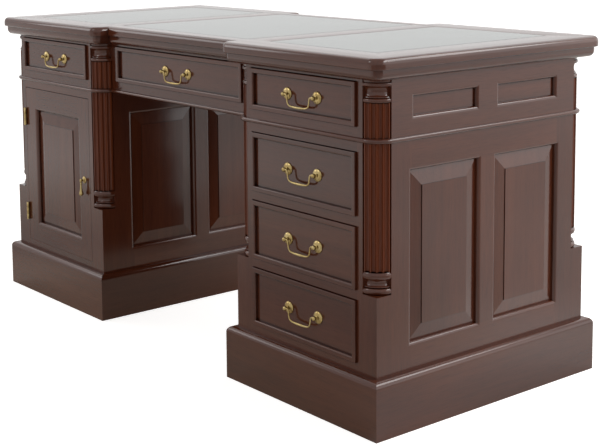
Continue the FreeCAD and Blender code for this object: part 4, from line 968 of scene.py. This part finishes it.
def outwards(skin_of):
    """A body turned on Z laid down, so that its height points out of the front: (x, -z, y)."""
    points, faces = skin_of
    return np.stack((points[:, 0], -points[:, 2], points[:, 1]), 1), faces


def rod(path, radius, sides=16):
    """A round rod along a path in the XZ plane: rings square to the path, each with its radius."""
    ahead = np.gradient(path, axis=0)
    ahead /= np.linalg.norm(ahead, axis=1)[:, None]
    across = np.stack((-ahead[:, 2], 0.0 * ahead[:, 1], ahead[:, 0]), 1)
    turn, side = full_turn(sides)[None, :, None], np.array((0.0, 1.0, 0.0))
    return skin(path[:, None] + radius[:, None, None]
                * (np.cos(turn) * across[:, None] + np.sin(turn) * side))


turn = sweep(38.0, 176.0, 14)
ball = np.stack((KNOB * np.sin(turn), PIVOT - KNOB * np.cos(turn)), 1)
post = outwards(spun(np.concatenate((smooth_line(DOME, 3), ball)), 36))
posts = together([moved(post, 0.0, (side * POST_APART, 0.0, 0.0)) for side in (-1, 1)])
half = smooth_line(HALF_BAIL, 5)
line = np.concatenate(((half * (-1, 1))[:0:-1], half))
swell = (WIRE + BELLY * np.exp(-(line[:, 0] / BELLY_WIDE) ** 2)
         + COLLAR * smoothstep((np.abs(line[:, 0]) - COLLAR_FROM) / COLLAR_OVER))
handle = rod(np.insert(line, 1, -PIVOT, axis=1), swell)

# %% Fit the pulls to their drawers
for name in frame["nodes"]:
    if name.endswith("_pull"):
        low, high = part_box(name)
        front = low.y < 0
        place = ((low.x + high.x) / 2, high.y if front else low.y, (low.z + high.z) / 2)
        turn = 0.0 if front else 180.0
        cast(name + "_posts", moved(posts, turn, place), name, 50.0)
        bail = name.replace("_pull", "_bail")
        cast(bail + "_handle", moved(handle, turn, place), bail, 60.0)

# %% [markdown]
# ## Door furniture
#
# A door has no knob but a drop: a turned pendant that hangs from an eye on a small rose. Its
# butt hinges are let into door and post, so only their knuckles show, with a seam between the
# barrel's parts where the door's half turns between the post's two.

# %% Drop and rose
EYE = 0.0110  # how far the eye stands off the door
MOUNT = mm((9.2, 0.0), (9.5, 0.4), (9.4, 1.1), (8.6, 2.0), (6.6, 3.1), (4.4, 3.8), (3.3, 4.6),
           (2.9, 6.0), (2.9, 7.8), (3.6, 8.8), (4.0, 10.2), (4.0, 11.8), (3.3, 13.0), (1.6, 13.8),
           (0.3, 14.0))
PENDANT = mm((0.3, -44.0), (1.2, -43.7), (1.6, -42.8), (1.5, -41.8), (2.4, -41.2), (4.7, -40.0),
             (5.9, -37.6), (6.0, -35.0), (5.0, -32.0), (3.8, -28.0), (3.0, -23.0), (2.5, -18.0),
             (2.2, -13.0), (2.1, -11.2), (3.0, -10.4), (3.4, -9.4), (3.0, -8.4), (2.0, -7.6),
             (1.9, -6.0), (2.8, -4.8), (3.4, -3.0), (3.5, -1.0), (3.0, 1.2), (1.6, 2.8), (0.3, 3.3))
mount = outwards(spun(smooth_line(MOUNT, 3), 32))
pendant = spun(smooth_line(PENDANT, 3), 28)


# %% Butt hinges
def plate(corner, other, ease=0.0003):
    """A thin brass leaf between two corners, its outline drawn in by its ease at top and bottom."""
    (x0, y0, z0), (x1, y1, z1) = corner, other
    return skin(np.array([
        [(x0 + draw, y0 + draw, z), (x1 - draw, y0 + draw, z),
         (x1 - draw, y1 - draw, z), (x0 + draw, y1 - draw, z)]
        for draw, z in ((ease, z0), (0.0, z0 + ease), (0.0, z1 - ease), (ease, z1))]))


def barrel(low, high, radius=0.0040, ease=0.0005):
    """A round knuckle between two heights, whose ends are eased in two small chamfers."""
    end = [(radius - ease, 0.0), (radius - 0.3 * ease, 0.3 * ease), (radius, ease)]
    return spun([(r, low + z) for r, z in end] + [(r, high - z) for r, z in reversed(end)], 24)


INNER, OUTER, END = 0.00813, 0.00853, 0.0250  # heights of the seams and the end, from the middle
NEAR, FAR = 0.0005, 0.0021  # a leaf's two faces, off the joint
KNUCKLE, LEAF, LEAF_END = 0.0022, 0.0043, 0.0193  # depths along a leaf, from the pin
PIN = 0.0016
UPPER_AND_LOWER = ((-END, -OUTER), (OUTER, END))
leaf_of_door = together([plate((NEAR, KNUCKLE, -INNER), (FAR, LEAF, INNER)),
                         plate((NEAR, LEAF, -END), (FAR, LEAF_END, END)), barrel(-INNER, INNER)])
leaf_of_post = together(
    [plate((-FAR, LEAF, -END), (-NEAR, LEAF_END, END)), spun([(PIN, -END), (PIN, END)], 16)]
    + [plate((-FAR, KNUCKLE, low), (-NEAR, LEAF, high)) for low, high in UPPER_AND_LOWER]
    + [barrel(low, high) for low, high in UPPER_AND_LOWER])

# %% Hang the doors
HINGE_X, HINGE_Y, HINGE_HEIGHTS = 0.68975, 0.3318, (0.224, 0.499)
DROP_X, DROP_Z = 0.37825, 0.361
fixed = []
for face, turn, side in (("front", 0.0, -1.0), ("back", 180.0, 1.0)):
    hinges = [(side * HINGE_X, side * HINGE_Y, z) for z in HINGE_HEIGHTS]
    rose_at = side * DROP_X, side * HALF_DEPTH, DROP_Z
    eye_at = side * DROP_X, side * (HALF_DEPTH + EYE), DROP_Z
    door_set = [moved(leaf_of_door, turn, at) for at in hinges] + [moved(mount, turn, rose_at)]
    cast(face + "_door_rose_and_hinges", together(door_set), face + "_door_brass", 40.0)
    cast(face + "_door_pendant", moved(pendant, turn, eye_at), face + "_door_drop", 50.0)
    fixed += [moved(leaf_of_post, turn, at) for at in hinges]
cast("hinge_posts", together(fixed), "cabinet_hinges", 40.0)

# %% [markdown]
# ## A bright studio
#
# Polished wood is mostly what it mirrors. The desk stands in an even white surround, as in a
# furniture studio, and its polish mirrors that white. Two places are brighter and draw the broad
# sheens on the ends and the top: a soft panel, low past the right end, that only the polish
# sees, and a lit backdrop, high up behind the left end, that lights the desk as well. The rest
# of the surround lights it at a lower level than it shows, so that the wood isn't washed out.

# %% Masks for rays
def seen_rays(tree):
    """1 for rays from the camera, and 1 for those or for rays off a polished face or through
    glass: the largest of the three kinds."""
    rays = tree.nodes.new("ShaderNodeLightPath").outputs
    shine = largest(rays["Is Glossy Ray"], rays["Is Transmission Ray"])
    return rays["Is Camera Ray"], largest(rays["Is Camera Ray"], shine)


def eased_step(value, start, stop):
    """0 before a start, 1 past a stop, and smoothstep's 3t^2 - 2t^3 between them."""
    node = add("ShaderNodeMapRange", Value=value, From_Min=start, From_Max=stop)
    node.interpolation_type = "SMOOTHSTEP"
    return node.outputs["Result"]


def towards(x, y, east, north):
    """How far a direction points one way on the plan: x times east plus y times north."""
    return total(times(x, east), times(y, north))


# %% Surround
CEILING, WALLS, FAR_WALL = 0.34, 0.60, 0.45  # levels of dull light; the far wall's comes on top
PANEL, BACKDROP = 2.4, 2.2  # levels of the two bright places
scene = bpy.context.scene
scene.view_settings.view_transform = "Standard"
scene.world = bpy.data.worlds.new("studio")
scene.world.use_nodes = True
tree = scene.world.node_tree
x, y, z = parts_of(tree, "Generated")
camera_ray, seen = seen_rays(tree)
walls = calculate("MULTIPLY_ADD", eased_step(y, -0.3, 0.8), FAR_WALL, WALLS)  # front to back
dull = blend(eased_step(z, 0.12, 0.55), walls, (CEILING,) * 3)  # low to high
past_end = eased_step(towards(x, y, 0.64, 0.77), 0.66, 0.86)
panel = times(past_end, eased_step(z, 0.62, 0.38), seen)
behind = eased_step(towards(x, y, -0.72, 0.695), 0.30, 0.60)
backdrop = times(behind, eased_step(z, 0.35, 0.60))
level = blend(seen, dull, WHITE)
for mask, strength in ((panel, PANEL), (backdrop, BACKDROP), (camera_ray, 1.0)):
    level = blend(mask, level, (strength,) * 3)
fill(node_of(tree, "BACKGROUND"), Color=(*WHITE, 1.0), Strength=level)
print("the surround's world is", scene.world.name)

# %% [markdown]
# ## Floor
#
# A pale floor carries the desk's soft shadow. It glows a little to the camera, so that it meets
# the white surround without a line. To polished sides it also glows by place, as a painted
# reflection: strongest far out past the right end, where it stands for a lit floor, and weakest
# close to the front, where it stands for shade. The glow is a sum of soft-edged areas, each a
# product of two eased steps.

# %% Pale floor
FLOOR_RADIUS, FLOOR_SIDES = 26.0, 96
turn = full_turn(FLOOR_SIDES)
floor_ring = FLOOR_RADIUS * np.stack((np.cos(turn), np.sin(turn), 0.0 * turn), 1)
floor = piece("floor", floor_ring, [range(FLOOR_SIDES)])
material, tree, shader = new_material("pale_floor")
floor.data.materials.append(material)
camera_ray, seen = seen_rays(tree)
fill(shader, Base_Color=blend(seen, (0.50, 0.48, 0.45), (0.78, 0.76, 0.73)), Roughness=0.9,
     Specular_IOR_Level=0.0)


# %% The floor's painted reflection
def beyond(value, half):
    """How far a place lies past a half size: its size minus the half, and 0 within it."""
    return largest(less(size_of(value), half), 0.0)


DESK_X, DESK_Y = 0.77, 0.35  # half sizes of the ground that the desk takes
x, y, _ = parts_of(tree)
beyond_x, beyond_y = beyond(x, DESK_X), beyond(y, DESK_Y)
away = calculate("SQRT", total(times(beyond_x, beyond_x), times(beyond_y, beyond_y)))
past_end = less(y, times(less(x, 0.75), 0.55))
open_floor = times(eased_step(away, 0.3, 2.0), eased_step(x, 1.1, 0.6))
lit_end = times(eased_step(past_end, -0.30, 0.35), eased_step(x, 0.77, 1.0))
far_end = times(lit_end, eased_step(away, 1.8, 4.5))
near_end = times(eased_step(away, 0.75, 0.10), eased_step(x, 0.70, 0.80))
near_front = times(eased_step(away, 0.45, 0.10), eased_step(x, 0.80, 0.70))
# The strengths of the painted reflection that only polished faces see: a lit floor far out, and
# shade near the front.
PAINTED_GLOWS = ((open_floor, 0.60), (lit_end, 0.38), (near_end, 0.56), (near_front, 0.26),
         (far_end, 0.70))
painted_reflection = total(*(times(area, strength) for area, strength in PAINTED_GLOWS))
CAMERA_GLOW, WARM = 0.74, (0.85, 0.72, 0.50)
# To the camera the floor glows evenly; to polished faces it glows as the painted reflection, warm
# near the front.
fill(shader, Emission_Strength=blend(camera_ray, times(seen, painted_reflection), (CAMERA_GLOW,) * 3),
     Emission_Color=blend(largest(open_floor, lit_end, near_end, camera_ray), WARM, WHITE))
print("the floor glows in", len(PAINTED_GLOWS), "areas")

# %% [markdown]
# ## Lamps
#
# Four soft square lamps stand round the desk, two past the right end and two before the front.
# They are small beside the surround's light, and give it a direction: a shade under the board,
# light on the fields of the panels, and highlights on the brass.

# %% Four soft lamps
LAMPS = (  # name, place, target, width, power in watts
    ("right", (2.77, 1.14, 2.42), (0.6, -0.1, 0.5), 0.9, 24.0),
    ("right_back", (1.95, 1.90, 2.50), (0.7, 0.0, 0.4), 1.2, 29.0),
    ("left", (-0.38, -2.52, 2.50), (0.3, -0.3, 0.4), 0.7, 9.5),
    ("far_left", (-2.6, -1.9, 1.7), (-0.6, -0.2, 0.4), 1.2, 12.0),
)
for name, place, target, width, power in LAMPS:
    data = bpy.data.lights.new(name, "AREA")
    data.shape, data.size, data.energy = "SQUARE", width, power
    lamp = bpy.data.objects.new(name, data)
    aim = (Vector(place) - Vector(target)).to_track_quat("Z", "Y").to_matrix().to_4x4()
    lamp.matrix_world = Matrix.Translation(Vector(place)) @ aim
    scene.collection.objects.link(lamp)
print(len(LAMPS), "lamps,", sum(lamp[-1] for lamp in LAMPS), "watts in all")

# %% [markdown]
# ## Camera
#
# The camera stands a metre above the floor, off the right front corner. Its lens is given in
# pixels of a 600 by 448 picture, and turned into millimetres on a 36 mm sensor. The desk stands
# to one side of the lens's axis, so the view is shifted by how far that axis is from the middle.

# %% Camera
PICTURE_WIDE, PICTURE_HIGH = 600.0, 448.0  # pixels
FOCAL, AXIS = 1299.087, (225.465, 67.589)  # pixels: the lens, and the axis from the top left
SENSOR = 36.0  # millimetres
EYE_AT = (2.59034, -2.10153, 1.05789)
YAW, PITCH, ROLL = 0.9211, 0.1153, -0.0134  # radians: left of +Y, downwards, and tilted
ahead = Vector((-math.sin(YAW) * math.cos(PITCH), math.cos(YAW) * math.cos(PITCH),
                -math.sin(PITCH)))
level_right = Vector((math.cos(YAW), math.sin(YAW), 0.0))
level_up = level_right.cross(ahead)
right = level_right * math.cos(ROLL) + level_up * math.sin(ROLL)
up = -level_right * math.sin(ROLL) + level_up * math.cos(ROLL)
lens = bpy.data.cameras.new("camera")
lens.sensor_width, lens.lens, lens.clip_end = SENSOR, FOCAL * SENSOR / PICTURE_WIDE, 100.0
lens.shift_x = (PICTURE_WIDE / 2 - AXIS[0]) / PICTURE_WIDE
lens.shift_y = (AXIS[1] - PICTURE_HIGH / 2) / PICTURE_WIDE
camera = bpy.data.objects.new("camera", lens)
camera.matrix_world = Matrix((right, up, -ahead)).transposed().to_4x4()
camera.location = EYE_AT
scene.collection.objects.link(camera)
scene.camera = camera
print("lens", round(lens.lens, 2), "mm, shift", round(lens.shift_x, 4), round(lens.shift_y, 4))
